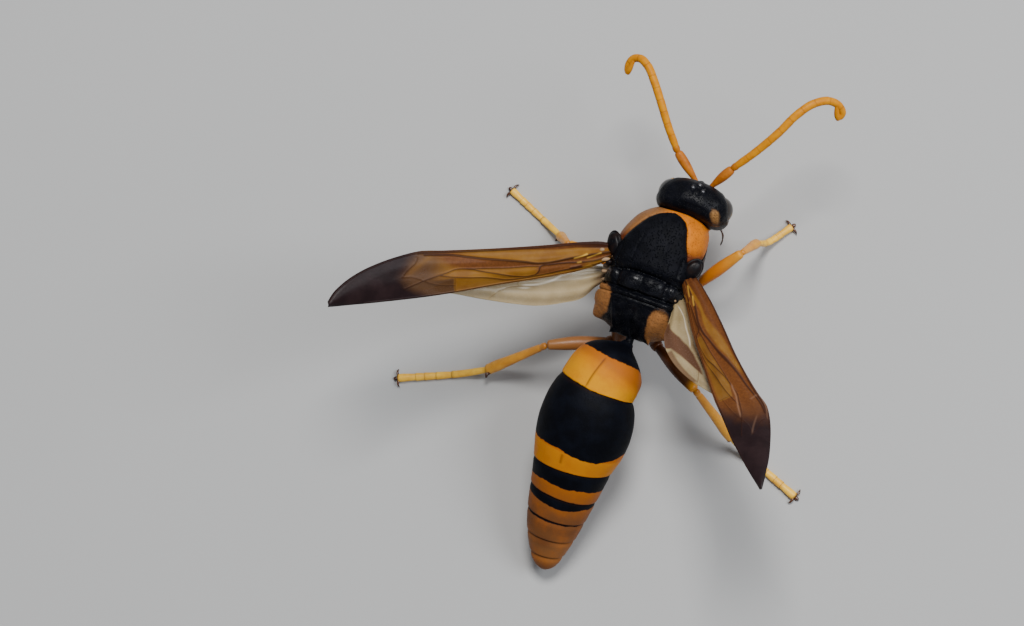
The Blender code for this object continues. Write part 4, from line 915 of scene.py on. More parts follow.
def make_thorax(material):
    """The thorax as one skin: a loft of rounded sections along the body, raised or cut by plates and sutures.

    RAISED, the height over the loft, is a sum of soft ridges and grooves in x, y and z.
    """
    rows, sides = THORAX_GRID
    place = np.linspace(THORAX[0][0], THORAX[-1][0], rows)[:, None] * np.ones(sides)
    angle = angles_round(sides) * np.ones((rows, 1))
    row = smooth_values(THORAX, place[:, 0])
    width, top, bottom, square = (row[:, k][:, None] for k in range(4))
    x, z = superoval(np.cos(angle), np.sin(angle), square)
    x = width * x
    z = np.where(z >= 0, top * z, -bottom * z)
    grid = np.stack([x, place, z], axis=2)
    wide = np.abs(x)

    tongue = table_line(SCUTUM_SIDE, place) - wide
    behind = place - table_line(COLLAR_REAR, z)
    middle = np.maximum(behind, np.minimum(tongue, z - SCUTUM_FLOOR))
    upper = ease(0.7, 1.3, z)
    side = ease(1.5, 2.1, wide) * (1 - ease(1.4, 1.9, z)) * ease(-2.3, -1.7, z)

    # Groove behind the collar, then the plate that swells behind it, with its lines and its side edges
    raised = -0.11 * hill(middle, 0.075)
    raised += 0.07 * ease(0.02, 0.35, middle) * upper * (1 - ease(0.3, 0.6, place))
    back_half = window(-1.5, 0.45, place, 0.5) * upper
    raised -= 0.055 * hill(wide - 0.95 - 0.1 * (place + 0.5), 0.045) * back_half
    raised -= 0.02 * hill(x, 0.04) * window(-2.6, -1.6, place, 0.4) * upper
    raised -= 0.08 * hill(wide - 1.95, 0.07) * window(-0.9, 0.5, place, 0.3) * upper

    # Scalloped seam before the shield, the shield in two halves, and the plates and edges beside and behind it
    seam = place - 0.62 - 0.1 * (wide / 1.5) ** 2
    raised -= (0.13 + 0.05 * np.cos(wide * 19.0)) * hill(seam, 0.085) * upper
    shield = window(0.8, 1.68, place, 0.16) * upper
    raised += 0.11 * hill(wide - 0.62, 0.52) * shield
    raised -= 0.09 * hill(x, 0.075) * shield
    raised -= 0.16 * hill(wide - 1.62, 0.17) * shield
    raised += 0.09 * hill(wide - 2.02, 0.2) * window(0.3, 1.4, place, 0.3) * upper
    raised -= 0.12 * hill(place - 1.86, 0.075) * upper
    raised += 0.06 * hill(place - 2.08, 0.12) * upper
    raised -= 0.1 * hill(place - 2.34, 0.06) * ease(-0.5, 0.6, z)

    # Slope down to the waist, hollow and creased in the middle, with a keel at either side
    slope = ease(2.5, 3.3, place)
    raised -= 0.2 * hill(x, 0.36) * slope * ease(-0.2, 0.5, z)
    raised -= 0.05 * hill(x, 0.05) * slope * ease(-0.2, 0.5, z)
    raised += (0.07 * hill(wide - 1.32 + 0.2 * (place - 3.2), 0.09) * window(2.7, 4.2, place, 0.3)
               * ease(0.2, 0.8, z))

    # Sutures and swell of the flanks, a breathing hole with its rim, and the line under the breast
    raised -= 0.09 * hill(place - 0.55 - 0.3 * z, 0.06) * side
    raised -= 0.09 * hill(place - 1.62 - 0.2 * z, 0.06) * side
    raised += 0.06 * hill(place - 1.1 - 0.25 * z, 0.28) * side
    raised -= 0.07 * hill(z + 0.55 - 0.25 * place, 0.06) * window(-1.3, 0.4, place, 0.2) * side
    hole = np.hypot(place - 2.85, z - 0.75)
    raised -= 0.13 * hill(hole, 0.13) * side
    raised += 0.05 * hill(hole - 0.22, 0.06) * side
    raised -= 0.06 * hill(x, 0.06) * (1 - ease(-1.6, -1.2, z))

    grid = grid + raised[..., None] * outward_normals(grid)
    for flank in SIDES.values():
        grid = pull_tooth(grid, *SIDE_TOOTH, flank)
        grid = pull_tooth(grid, *REAR_TOOTH, flank)
    grid[..., 0] -= FRONT_BEND * (np.clip(-0.9 - place, 0.0, None) / 2.7) ** 1.8
    grid = clear_of_head(grid, HEAD_GAP)

    spot = np.full_like(x, OUTSIDE)
    for spot_x, spot_y, spot_wide, spot_long, spot_deep in SPOTS:
        across, along = np.abs(x - spot_x) / spot_wide, np.abs(place - spot_y) / spot_long
        patch = 0.6 * (1 - (across ** 2.6 + along ** 2.6) ** (1 / 2.6))
        spot = np.maximum(spot, np.minimum(patch, z + spot_deep))
    velvet = ease(0.05, 0.4, middle) * upper * (1 - ease(-0.4, 0.5, place))
    brown = ease(-1.05, -0.1, behind) * ease(0.0, 0.8, z) + 0.55 * ease(-0.5, 0.0, behind)
    rough = 0.25 + 0.75 * ease(0.3, 0.9, place) + 0.4 * slope
    skin = Skin()
    # The tan field is painted shade on the collar's left side
    skin.add(from_body(grid), collar=-middle, spot=spot, velvet=velvet, tan=0.85 * ease(0.1, 1.1, x),
             brown=np.clip(brown, 0, 1), rough=rough)
    line, radius = NECK
    neck = carry(smooth_path(line, 20), radius, 32)
    skin.add(from_body(neck), collar=-1.0, spot=-1.0, velvet=0.2, rough=0.3)
    line, radii = WAIST
    waist = limb(line, 24, 1.0, radii, (0, 0), 32)
    skin.add(from_body(waist), collar=-1.0, spot=-1.0, rough=0.3)
    skin.finish("thorax_skin", material, "thorax_chitin", ("pronotum", "mesothorax", "propodeum"))


def eye_share(points, side, grow):
    """Distance from the middle of an eye as a share of its radius, 1 on the eye's surface."""
    away = points - EYE_CENTRE * np.array((side, 1, 1))
    height = np.clip(away[..., 2] / EYE_RADII[2], -1.2, 1.2)
    away[..., 0] += side * EYE_BEND * height ** 2
    return np.linalg.norm(away / (np.array(EYE_RADII) + grow), axis=-1)


def make_head(finishes):
    """The head's skin over level sections, with rims, sockets and ridges, then the eyes and the ocelli."""
    rows, sides = HEAD_GRID
    low, high = HEAD[0][0], HEAD[-1][0]
    share = 0.5 - 0.5 * np.cos(math.pi * shares(rows))
    level = (low + (high - low) * share)[:, None] * np.ones(sides)
    angle = angles_round(sides) * np.ones((rows, 1))
    x, y = head_ring(level, angle)
    grid = np.stack([x, y, level], axis=2)
    normal = outward_normals(grid)
    raised = np.zeros_like(x)
    temple = np.full_like(x, OUTSIDE)
    orbit = np.full_like(x, OUTSIDE)
    # Either side: sunk under the eye with a rim round it, a feeler's socket, a tan temple and an orange line
    for side in SIDES.values():
        near = eye_share(grid, side, 0.1)
        raised -= 0.2 * (1 - ease(0.7, 1.0, near)) * (side * x > 0.3)
        raised += 0.02 * hill(near - 1.08, 0.05) * (side * x > 0.3)
        socket = np.sqrt((x - side * SOCKET[0]) ** 2 + (level - SOCKET[2]) ** 2)
        front = y < -0.4
        raised -= 0.16 * hill(socket, 0.26) * front
        raised += 0.06 * hill(socket - 0.4, 0.08) * front
        back = y - 0.34 - 0.25 * (level - 0.6)
        across = np.sqrt(((x - side * 1.92) / 0.95) ** 2 + back ** 2 + ((level - 0.55) / 2.6) ** 2)
        temple = np.maximum(temple, 0.26 - across)
        line = 0.075 - np.abs(near - 1.2)
        orbit = np.maximum(orbit, np.minimum(np.minimum(line, -0.9 - y), 0.45 - np.abs(level + 0.75)))
    # Larger tan patch behind the right eye
    off_x, off_y = x + 1.7, y - 0.46
    oval = np.hypot((0.87 * off_x + 0.5 * off_y) / 0.34, (0.87 * off_y - 0.5 * off_x) / 0.54)
    temple = np.maximum(temple, np.where(level > 0.8, 0.3 * (1 - oval), OUTSIDE))
    # Ridge between the sockets, the crease over it, the swell round the ocelli, then the nape and its edge
    raised += 0.1 * hill(x, 0.14) * window(-0.5, 0.9, level, 0.3) * (y < 0)
    raised -= 0.03 * hill(x, 0.035) * window(0.9, 1.7, level, 0.2) * (y < 0)
    raised += 0.05 * hill(np.hypot(x / 0.9, (y + 0.75) / 0.6) - 0.4, 0.3) * ease(1.6, 2.0, level)
    nape = np.hypot(x / 1.45, (level - 0.1) / 1.55)
    raised += 0.07 * hill(nape - 1.0, 0.06) * (y > 0)
    raised -= 0.1 * ease(0.4, 0.9, 1 - nape) * (y > 0)
    for spot_x, spot_y in OCELLI:
        ring = np.hypot(x - spot_x, y - spot_y) - OUTSIDE * (level < 1.2)
        raised -= 0.05 * hill(ring - 0.19, 0.05)
    grid = grid + raised[..., None] * normal
    skin = Skin()
    skin.add(from_head(grid), temple=temple, orbit=orbit)
    skin.finish("head_skin", finishes["head"], "head_chitin", ("head",))

    for word, side in SIDES.items():
        centre = EYE_CENTRE * np.array((side, 1, 1))
        eye = egg(centre, EYE_RADII, *EYE_GRID, EYE_BEND)
        local = (eye - centre) / np.array(EYE_RADII)
        notch = hill(local[..., 2] + 0.12, 0.26) * ease(0.2, 0.9, -local[..., 0] * side)
        notch = notch * ease(0.0, 0.6, -local[..., 1])
        eye = eye + (0.1 * notch)[..., None] * np.array((side, 0.35, 0.0))
        skin_x, skin_y = head_ring(eye[..., 2], np.arctan2(eye[..., 1], eye[..., 0]))
        depth = np.hypot(skin_x, skin_y) - np.hypot(eye[..., 0], eye[..., 1])
        lens = Skin()
        lens.add(from_head(eye), rim=ease(-0.02, 0.26, depth))
        lens.finish(f"eye_{word}_lens", finishes["eye"], "eye_lens", (f"eye_{word}",))

    beads = Skin()
    for spot_x, spot_y in OCELLI:
        levels = np.linspace(1.2, 2.3, 400)
        row = smooth_values(HEAD, levels)
        power = HEAD_SQUARENESS[0]
        inside = (np.abs(spot_x) / row[:, 0]) ** power + (np.abs(spot_y) / row[:, 1]) ** power < 1
        top = levels[inside].max()
        beads.add(from_head(egg((spot_x, spot_y, top - 0.03), OCELLUS_RADII, 24, 32)))
    beads.finish("ocelli", finishes["glass"], "eye_lens")


def make_face(finishes):
    """Clypeus, labrum, mandibles and palps under the face."""
    plate = egg(CLYPEUS_CENTRE, CLYPEUS_RADII, 90, 110)
    local = (plate - np.array(CLYPEUS_CENTRE)) / np.array(CLYPEUS_RADII)
    level = local[..., 2]
    narrow = 1.0 - 0.22 * ease(0.0, -1.0, level)
    plate[..., 0] = CLYPEUS_CENTRE[0] + (plate[..., 0] - CLYPEUS_CENTRE[0]) * narrow
    plate[..., 2] += 0.1 * hill(plate[..., 0], 0.28) * ease(-0.5, -1.0, level)
    plate[..., 1] += 0.05 * hill(plate[..., 0], 0.16) * ease(0.0, -1.0, level) * ease(0, 1, -local[..., 1])
    rim = ease(0.8, 1.0, np.hypot(local[..., 0], local[..., 2])) * 0.8
    skin = Skin()
    skin.add(from_head(plate), rim=rim)
    skin.add(from_head(egg(*LABRUM, 30, 40)), rim=0.7)
    skin.finish("clypeus_plate", finishes["clypeus"], "clypeus_chitin", ("clypeus",))

    for word, side in SIDES.items():
        line = smooth_path([(side * a, b, c) for a, b, c in MANDIBLE], 90)
        t = shares(90)
        radii = rounded(90, MANDIBLE_RADII, (0.03, 0.06))
        radii = radii * (1 + 0.16 * sum(hill(t - place, 0.035) for place in MANDIBLE_TEETH))
        jaw = carry(line, radii, 40, 0.72, (side, 0.0, 0.0))
        skin = Skin()
        skin.add(from_head(jaw), tip=ease(0.5, 1.0, t))
        skin.finish(f"jaw_{word}", finishes["jaw"], "claw_chitin", (f"mandible_{word}",))

    palps = Skin()
    for line, radius in PALPS:
        line = smooth_path(line, 90)
        t = shares(90)
        beads = 1 - 0.25 * hill(np.abs((t * 5) % 1 - 0.5) - 0.5, 0.1)
        palps.add(from_body(carry(line, radius * beads * (1.1 - 0.5 * t), 16)), tip=0.4 * t)
    palps.finish("palps", finishes["palp"], "claw_chitin")


def make_feeler(word, line, material):
    """Scape, pedicel and eleven short segments carried along the feeler's line, the last one folded back."""
    side = SIDES[word]
    socket = np.array((0.3 if side > 0 else -0.46, SOCKET[1] + 0.35, SOCKET[2]))
    elbow = np.array(line[0])
    skin = Skin()
    arm = (socket, socket + (elbow - socket) * 0.5 + 0.04 * UP, elbow)
    scape = limb(arm, 60, SCAPE_RADIUS, (0.36, 0.54, 0.74, 0.92, 1.0, 0.97, 0.8), (0.02, 0.1), 36, 0.92)
    skin.add(from_neck(scape), scape=1.0, joint=ease(0.9, 1.0, shares(60)) * 0.5)

    ahead = unit(np.array(line[1]) - elbow)
    bead = (elbow - 0.1 * ahead, elbow + 0.16 * ahead, elbow + 0.4 * ahead)
    pedicel = limb(bead, 24, PEDICEL_RADIUS, (0.72, 0.95, 1.0, 0.82), (0.1, 0.15), 32)
    skin.add(from_neck(pedicel), scape=0.6, joint=0.25)

    path = smooth_path((elbow + 0.3 * ahead, *line[1:]), 420)
    t = shares(420)
    parts = FEELER_SEGMENTS - 1
    phase = (t * parts) % 1.0
    swell = np.interp(t, (0.0, 0.05, 0.3, 0.75, 0.9, 1.0), (0.86, 0.94, 1.0, 1.02, 0.94, 0.72))
    cuff = 1.0 + 0.03 * (phase - 0.5) - 0.05 * (hill(phase, 0.04) + hill(phase - 1.0, 0.04))
    stop = np.sqrt(np.clip(1 - ((t - 0.975) / 0.0255).clip(0, 1) ** 2, 0, 1))
    groove = hill(phase, 0.06) + hill(phase - 1.0, 0.06)
    radii = np.maximum(FLAGELLUM_RADIUS * swell * cuff * stop, 0.004)
    skin.add(from_neck(carry(path, radii, 32)), joint=groove * 0.55)

    end, before = np.array(line[-1]), np.array(line[-3])
    inward = unit(np.array(line[-4]) - end)
    back = unit(before - end)
    fold = (end, end + 0.2 * inward + 0.12 * back + 0.12 * UP, end + 0.24 * inward + 0.6 * back + 0.16 * UP,
            end + 0.2 * inward + 1.0 * back + 0.12 * UP)
    last = limb(fold, 50, FOLDED_RADIUS, (0.95, 1.0, 0.88, 0.66, 0.34), (0.05, 0.06), 28)
    skin.add(from_neck(last), joint=ease(0.3, 1.0, shares(50)) * 0.5)
    skin.finish(f"feeler_{word}", material, "feeler_chitin", (f"scape_{word}", f"flagellum_{word}"))


def abdomen_rows():
    """Places along the abdomen and how far each row lies in: every segment ends in a lip over the next."""
    # The third list is the painted shadow at each lip's rim, under it and where the next plate starts beneath
    # it
    places, drops, lip_shadows = [], [], []
    for number, (start, end) in enumerate(zip(SEGMENT_ENDS, SEGMENT_ENDS[1:]), 1):
        near = np.linspace(start, end - 0.12, max(int((end - start) / 0.055), 16))
        sunk = 0.11 * np.clip(1 - (near - start) / 0.45, 0, 1) ** 1.5 if number > 1 else 0 * near
        places += list(near)
        drops += list(sunk)
        lip_shadows += list(hill(near - start, 0.1) * (number > 1))
        if number < 7:
            places += [end - 0.07, end - 0.03, end - 0.008, end, end - 0.008, end - 0.05]
            drops += [0.0, 0.004, 0.018, 0.045, 0.078, 0.112]
            lip_shadows += [0.1, 0.25, 0.6, 0.9, 1.0, 1.0]
        else:
            places += [end - 0.08, end - 0.05, end - 0.02, end]
            drops += [0.0, 0.0, 0.0, 0.0]
            lip_shadows += [0.0, 0.0, 0.0, 0.0]
    return np.array(places), np.array(drops), np.array(lip_shadows)


def make_abdomen(material):
    """The abdomen as one skin: egg-shaped sections square to its curved axis, in lipped plates.

    ring = axis + (half width - drop) * (cos a * across + height * sin a * over), where the height is
    ABDOMEN_TOP above and ABDOMEN_BELLY below.
    """
    sides = ABDOMEN_SIDES
    at, drop, lip = abdomen_rows()
    table = with_distance(ABDOMEN_AXIS)
    middle = smooth_values(table, at)
    ahead = unit(smooth_values(table, at + 0.06) - smooth_values(table, at - 0.06))
    across = unit(np.cross(ahead, (0.0, 0.0, 1.0)))
    over = unit(np.cross(across, ahead))
    half = smooth_values(ABDOMEN_WIDTH, at)[:, 0]
    degrees = np.arange(sides) * 360.0 / sides
    turn = np.where(degrees > 270, degrees - 360, degrees)
    angle = np.radians(degrees) * np.ones((len(at), 1))
    c, s = superoval(np.cos(angle), np.sin(angle), 2.1)
    fold = np.abs(((degrees + 90) % 360) - 180)
    under = ease(113.0, 119.0, fold) * np.ones((len(at), 1))
    size = (half - np.minimum(drop, 0.35 * half))[:, None] - 0.05 * under * ease(1.0, 2.0, at)[:, None]
    size = size - 0.04 * (hill(fold - 112.0, 2.2) * np.ones((len(at), 1))) * ease(1.0, 2.0, at)[:, None]
    line = hill(degrees - 86.0, 1.3) * window(1.9, 3.15, at, 0.25)[:, None]
    size = size - 0.02 * line
    up = np.where(s >= 0, ABDOMEN_TOP, ABDOMEN_BELLY)
    droop = 0.24 * ease(-25.0, 45.0, turn) * (1 - ease(90.0, 145.0, turn)) - 0.12 * ease(140.0, 180.0, turn)
    droop = (droop[None, :] * hill(at - SEGMENT_ENDS[1], 0.9)[:, None]
             + 0.2 * np.cos(angle) * hill(at - SEGMENT_ENDS[2], 0.9)[:, None])
    grid = (middle[:, None, :] + (size * c)[..., None] * across[:, None, :]
            + (size * up * s)[..., None] * over[:, None, :] + droop[..., None] * ahead[:, None, :])

    along = at[:, None] * np.ones(sides)
    black = np.full_like(along, OUTSIDE)
    for start, ends in BLACK_BANDS:
        black = np.maximum(black, np.minimum(along - start + 0.02, table_line(ends, turn) - along))
    stain = 0.75 * line + 0.55 * hill(degrees - 86.0, 1.6) * window(7.45, 7.95, at, 0.15)[:, None]
    stain = stain + 0.55 * hill(degrees - 88.0, 26.0) * hill(along - 13.75, 0.42)
    stain = stain + 0.35 * hill(along - 15.9, 0.35)
    yellow = 0.95 * ease(1.7, 2.9, along) * (along < 3.4) + 0.45 * window(7.3, 8.6, along, 0.1)
    brown = ease(8.8, 10.2, along) * 0.62 + ease(10.6, 12.0, along) * 0.3
    brown = brown - 0.22 * ease(14.0, 15.4, along) + 0.3 * window(1.3, 1.9, along, 0.4)
    skin = Skin()
    skin.add(from_body(grid), black=black, lip=lip, yellow=np.clip(yellow, 0, 1), brown=np.clip(brown, 0, 1),
             tail=ease(12.6, 14.2, along), stain=np.clip(stain, 0, 1))
    nodes = [f"abdomen_{number}" for number in range(1, 8)]
    skin.finish("abdomen_skin", material, "abdomen_chitin", nodes)


def wing_axes(word):
    """Hinge, and the directions to the tip, to the back edge and up from the blade, over the floor."""
    raised, swept, twist, shift = WINGS[word]
    side = SIDES[word]
    rise, sweep, turn = (math.radians(value) for value in (raised, swept, twist))
    tip = np.array((side * math.cos(rise) * math.cos(sweep), math.cos(rise) * math.sin(sweep), math.sin(rise)))
    level = np.array((-side * math.sin(sweep), math.cos(sweep), 0.0))
    up = np.cross(tip, level)
    up = up if up[2] > 0 else -up
    back = math.cos(turn) * level + math.sin(turn) * up
    normal = np.cross(tip, back)
    normal = normal if normal[2] > 0 else -normal
    hinge = from_body((side * HINGE[0], HINGE[1], HINGE[2])) + shift * back
    return hinge, tip, back, normal


def line_ridge(u, v, half_width, line):
    """exp(-(d / half width)^2), where d is the distance in the wing's plane from a smooth line."""
    line = smooth_path([(*point, 0.0) for point in line], 4 * len(line))[:, :2]
    nearest = np.full(u.shape, 1e9)
    for start, end in zip(line, line[1:]):
        step = end - start
        t = np.clip(((u - start[0]) * step[0] + (v - start[1]) * step[1]) / np.dot(step, step), 0, 1)
        nearest = np.minimum(nearest, np.hypot(u - start[0] - t * step[0], v - start[1] - t * step[1]))
    return np.exp(-(nearest / half_width) ** 2)


def wing_grid(kind, word, veins):
    """A cambered blade: hinge + u * tip + v * back + (camber +- thickness) * normal, thicker along its veins.

    Each row runs over the upper face from the front edge to the back and returns under it. The veins are drawn
    on the left wing, and PLAN is the place on the left wing at the same share of the breadth.
    """
    hinge, tip, back, normal = wing_axes(word)
    edges, drop, rows, columns, thin = BLADES[kind]
    u = np.linspace(edges[word][0][0], edges[word][-1][0] - 0.01, rows)
    sides = smooth_values(edges[word], u)
    left_sides = smooth_values(edges["left"], u)
    share = 0.5 - 0.5 * np.cos(np.linspace(0.02, 0.98, columns) * math.pi)
    share = (share - share[0]) / (share[-1] - share[0])
    u = u[:, None] * np.ones(columns)
    v = sides[:, :1] * (1 - share) + sides[:, 1:2] * share
    plan = left_sides[:, :1] * (1 - share) + left_sides[:, 1:2] * share
    share = share * np.ones((rows, 1))
    along = u
    if (kind, word) == ("forewing", "right"):
        plan = plan - table_line(RIGHT_SHIFT, u) * ease(0.08, 0.5, share) * (1 - ease(0.8, 1.0, share))
        along = u - 0.4 * ease(8.5, 10.0, u)
    ridge = np.zeros_like(u)
    for half_width, line in veins.values():
        height = line_ridge(along, plan, half_width, line) * min(1.0, 0.3 + half_width * 8.0)
        ridge = np.maximum(ridge, height)
    root = 1 - ease(-0.6, 1.6, u)
    edge = np.sqrt(np.clip(4 * share * (1 - share) * 6.0, 0.0, 1.0))
    pleat = PLEAT_HEIGHT * np.sin(share * 17.0 + 0.3 * u) * (1 - ease(10.0, 16.0, u)) * edge
    half = (thin + VEIN_HEIGHT * ridge + ROOT_HEIGHT * root) * np.maximum(edge, 0.12)
    camber = WING_CAMBER * 4 * share * (1 - share) + pleat - drop
    flat = hinge + u[..., None] * tip + v[..., None] * back
    top = flat + (camber + half)[..., None] * normal
    under = flat + (camber - half)[..., None] * normal
    grid = np.concatenate([top, under[:, ::-1]], axis=1)
    return grid, u, plan, share, ridge


def finish_blade(kind, word, grid, material, **fields):
    """Makes a wing's blade, with the same fields on its upper and its under face."""
    skin = Skin()
    both = {name: np.concatenate([value, value[:, ::-1]], axis=1) for name, value in fields.items()}
    skin.add(grid, **both)
    skin.finish(f"{kind}_{word}_blade", material, f"{kind}_membrane", (f"{kind}_{word}",))


def make_forewing(word, material):
    """The forewing's blade: thick front vein, thin margin, amber cells, red-brown band and smoky tip."""
    edge = [(u, v + 0.08) for u, v, _ in FOREWING_EDGES["left"]]
    veins = {**FORE_VEINS, "costa": (0.09, edge[:7]), "margin": (0.035, edge[6:])}
    grid, u, v, share, ridge = wing_grid("forewing", word, veins)
    radius = table_line(FORE_VEINS["radius"][1], u)
    behind_band = v - table_line(BAND, u)
    smoke = u - table_line(SMOKE_EDGE[word], v)
    front = 1 - ease(-0.05, 0.05, v - table_line(FRONT_BAND, u) - FRONT_BAND_WIDER[word])
    softer = 1 + 2.5 * ease(9.0, 10.5, u)
    # Brown on the band behind the radius, on the root and along the front edge
    band = ease(-0.02, 0.08, v - radius) * (1 - ease(-0.08, 0.12, behind_band / softer))
    band = band * window(-0.5, 10.2, u, 1.8)
    root = window(1.6, 4.4, u, 0.5) * window(0.2, 0.66, v, 0.1)
    root = root + 0.8 * (1 - ease(0.2, 1.6, u)) * hill(share - 0.1, 0.3)
    brown = np.maximum.reduce([0.9 * band, 0.85 * root, 0.95 * front * (1 - ease(9.5, 11.0, u))])
    deep = front * (1 - ease(0.4, 3.4, u))
    streak = np.zeros_like(u)
    # The left wing darkens towards its tip, the right one is brown but for a gold and a clear cell
    if word == "left":
        ahead = 0.8 * ease(8.2, 10.6, u) * (1 - ease(10.8, 12.0, u))
        brown = np.maximum(brown, ahead * (1 - ease(-0.05, 0.25, v - radius)))
        outer = ease(9.95, 10.2, u) * ease(0.0, 0.15, v) + ease(9.8, 12.0, u) * (1 - ease(0.0, 0.15, v))
        dusk = 0.3 * ease(5.5, 8.0, u) * ease(0.5, 0.8, v) + 0.95 * outer
        dusk = dusk - 0.35 * hill(v - 0.55 * (u - 12.4) + 0.95, 0.22) * window(11.6, 13.2, u, 0.5)
    else:
        smoke = 0.62 * smoke
        deep = 0.25 * deep
        behind_band = np.where(u > 9.2, v + 0.38 - 0.21 * (u - 9.2), behind_band)
        behind_gold = v - radius + 0.28 * ease(1.0, 3.0, u) * (1 - 0.5 * ease(4.5, 6.5, u))
        gold_cell = (1 - front) * (1 - ease(-0.1, 0.04, behind_gold)) * window(0.5, 7.6, u, 1.4)
        clear_cell = ease(0.0, 0.07, behind_band) * window(4.85, 10.4, u, 0.12) * (1 - ease(0.88, 0.95, share))
        brown = np.maximum(brown, 0.92 * (1 - gold_cell) * (1 - clear_cell))
        dusk = np.maximum(0.25 * clear_cell, 0.75 * ease(10.0, 12.4, u))
        # Pale streaks; the one along the front rim is a painted highlight
        for half_width, strength, line in PALE_STREAKS:
            faded = window(line[0][0] + 0.3, line[-1][0] - 0.4, u, 0.4) if line[-1][0] > line[0][0] else 1.0
            streak = np.maximum(streak, strength * faded * line_ridge(u, v, half_width, line))
    # Painted golden highlights near the root, weaker on the right wing
    glint = np.zeros_like(u)
    for strength, line in GOLD_GLINTS:
        strength = strength * (1.0 if word == "left" else 0.7)
        glint = np.maximum(glint, strength * line_ridge(u, v, 0.05, line))
    finish_blade("forewing", word, grid, material, vein=ridge, smoke=smoke, glint=glint, deep=deep,
                 streak=streak, brown=np.clip(brown, 0, 1), dusk=np.clip(dusk, 0, 1))


def make_hindwing(word, material):
    """The hindwing's blade, beige and clear, with a brown root, a brown band and painted highlights on ridges.
    """
    grid, u, v, share, ridge = wing_grid("hindwing", word, HIND_VEINS)
    # Painted highlights along the ridges that catch the light
    pale = np.zeros_like(u)
    for half_width, line in PALE_LINES[word]:
        faint = ease(line[0][0], line[0][0] + 0.5, u) * (1 - ease(line[-1][0] - 0.5, line[-1][0], u))
        pale = np.maximum(pale, line_ridge(u, v, half_width, line) * faint)
    dusk = 0.85 * (1 - ease(-0.2, 0.8, u)) * ease(0.2, 0.5, share)
    if word == "right":
        # A brown band across the right hindwing's breadth, from u = 2 to 7
        front, rear = table_line(BROWN_BAND_FRONT, u), table_line(BROWN_BAND_REAR, u)
        fold = ease(0.0, 0.07, share - front) * (1 - ease(-0.07, 0.0, share - rear)) * window(2.0, 6.9, u, 0.3)
        rim = ease(0.84, 0.9, share) * window(4.4, 7.2, u, 0.3)
        under = (1 - ease(0.3, 0.42, share)) * window(4.4, 9.0, u, 0.8)
        dusk = np.maximum.reduce([dusk, 1.0 * fold, 0.8 * rim, 0.6 * under])
    finish_blade("hindwing", word, grid, material, vein=ridge, dusk=dusk, pale=pale)


def make_wing_root(word, material):
    """The cap over the wing's root, and the small plates that hinge the blades to the thorax."""
    side = SIDES[word]
    cap = egg((0, 0, 0), (1, 1, 1), 70, 90)
    flare = 1 - 0.1 * hill(cap[..., 2] + 0.25, 0.25)
    shape = cap * np.array(TEGULA_RADII) * flare[..., None]
    shape[..., 2] -= 0.1 * hill(np.hypot(cap[..., 0], cap[..., 1]) - 0.86, 0.1) * (cap[..., 2] > 0)
    turn = turn_about("z", side * TEGULA_TURN) @ turn_about("y", side * TEGULA_TILT)
    skin = Skin()
    skin.add(from_body(shape @ turn.T + TEGULA_CENTRE * np.array((side, 1, 1))), pale=0.0)
    # Small plates, their paleness a painted highlight
    for x, y, z, a, b, c, pale in WING_PLATES[word]:
        plate = egg((0, 0, 0), (a, b, c), 20, 26) @ turn_about("z", side * 25.0).T
        skin.add(from_body(plate + np.array((side * x, y, z))), pale=pale)
    skin.finish(f"wing_root_{word}", material, "tegula_chitin", (f"tegula_{word}",))


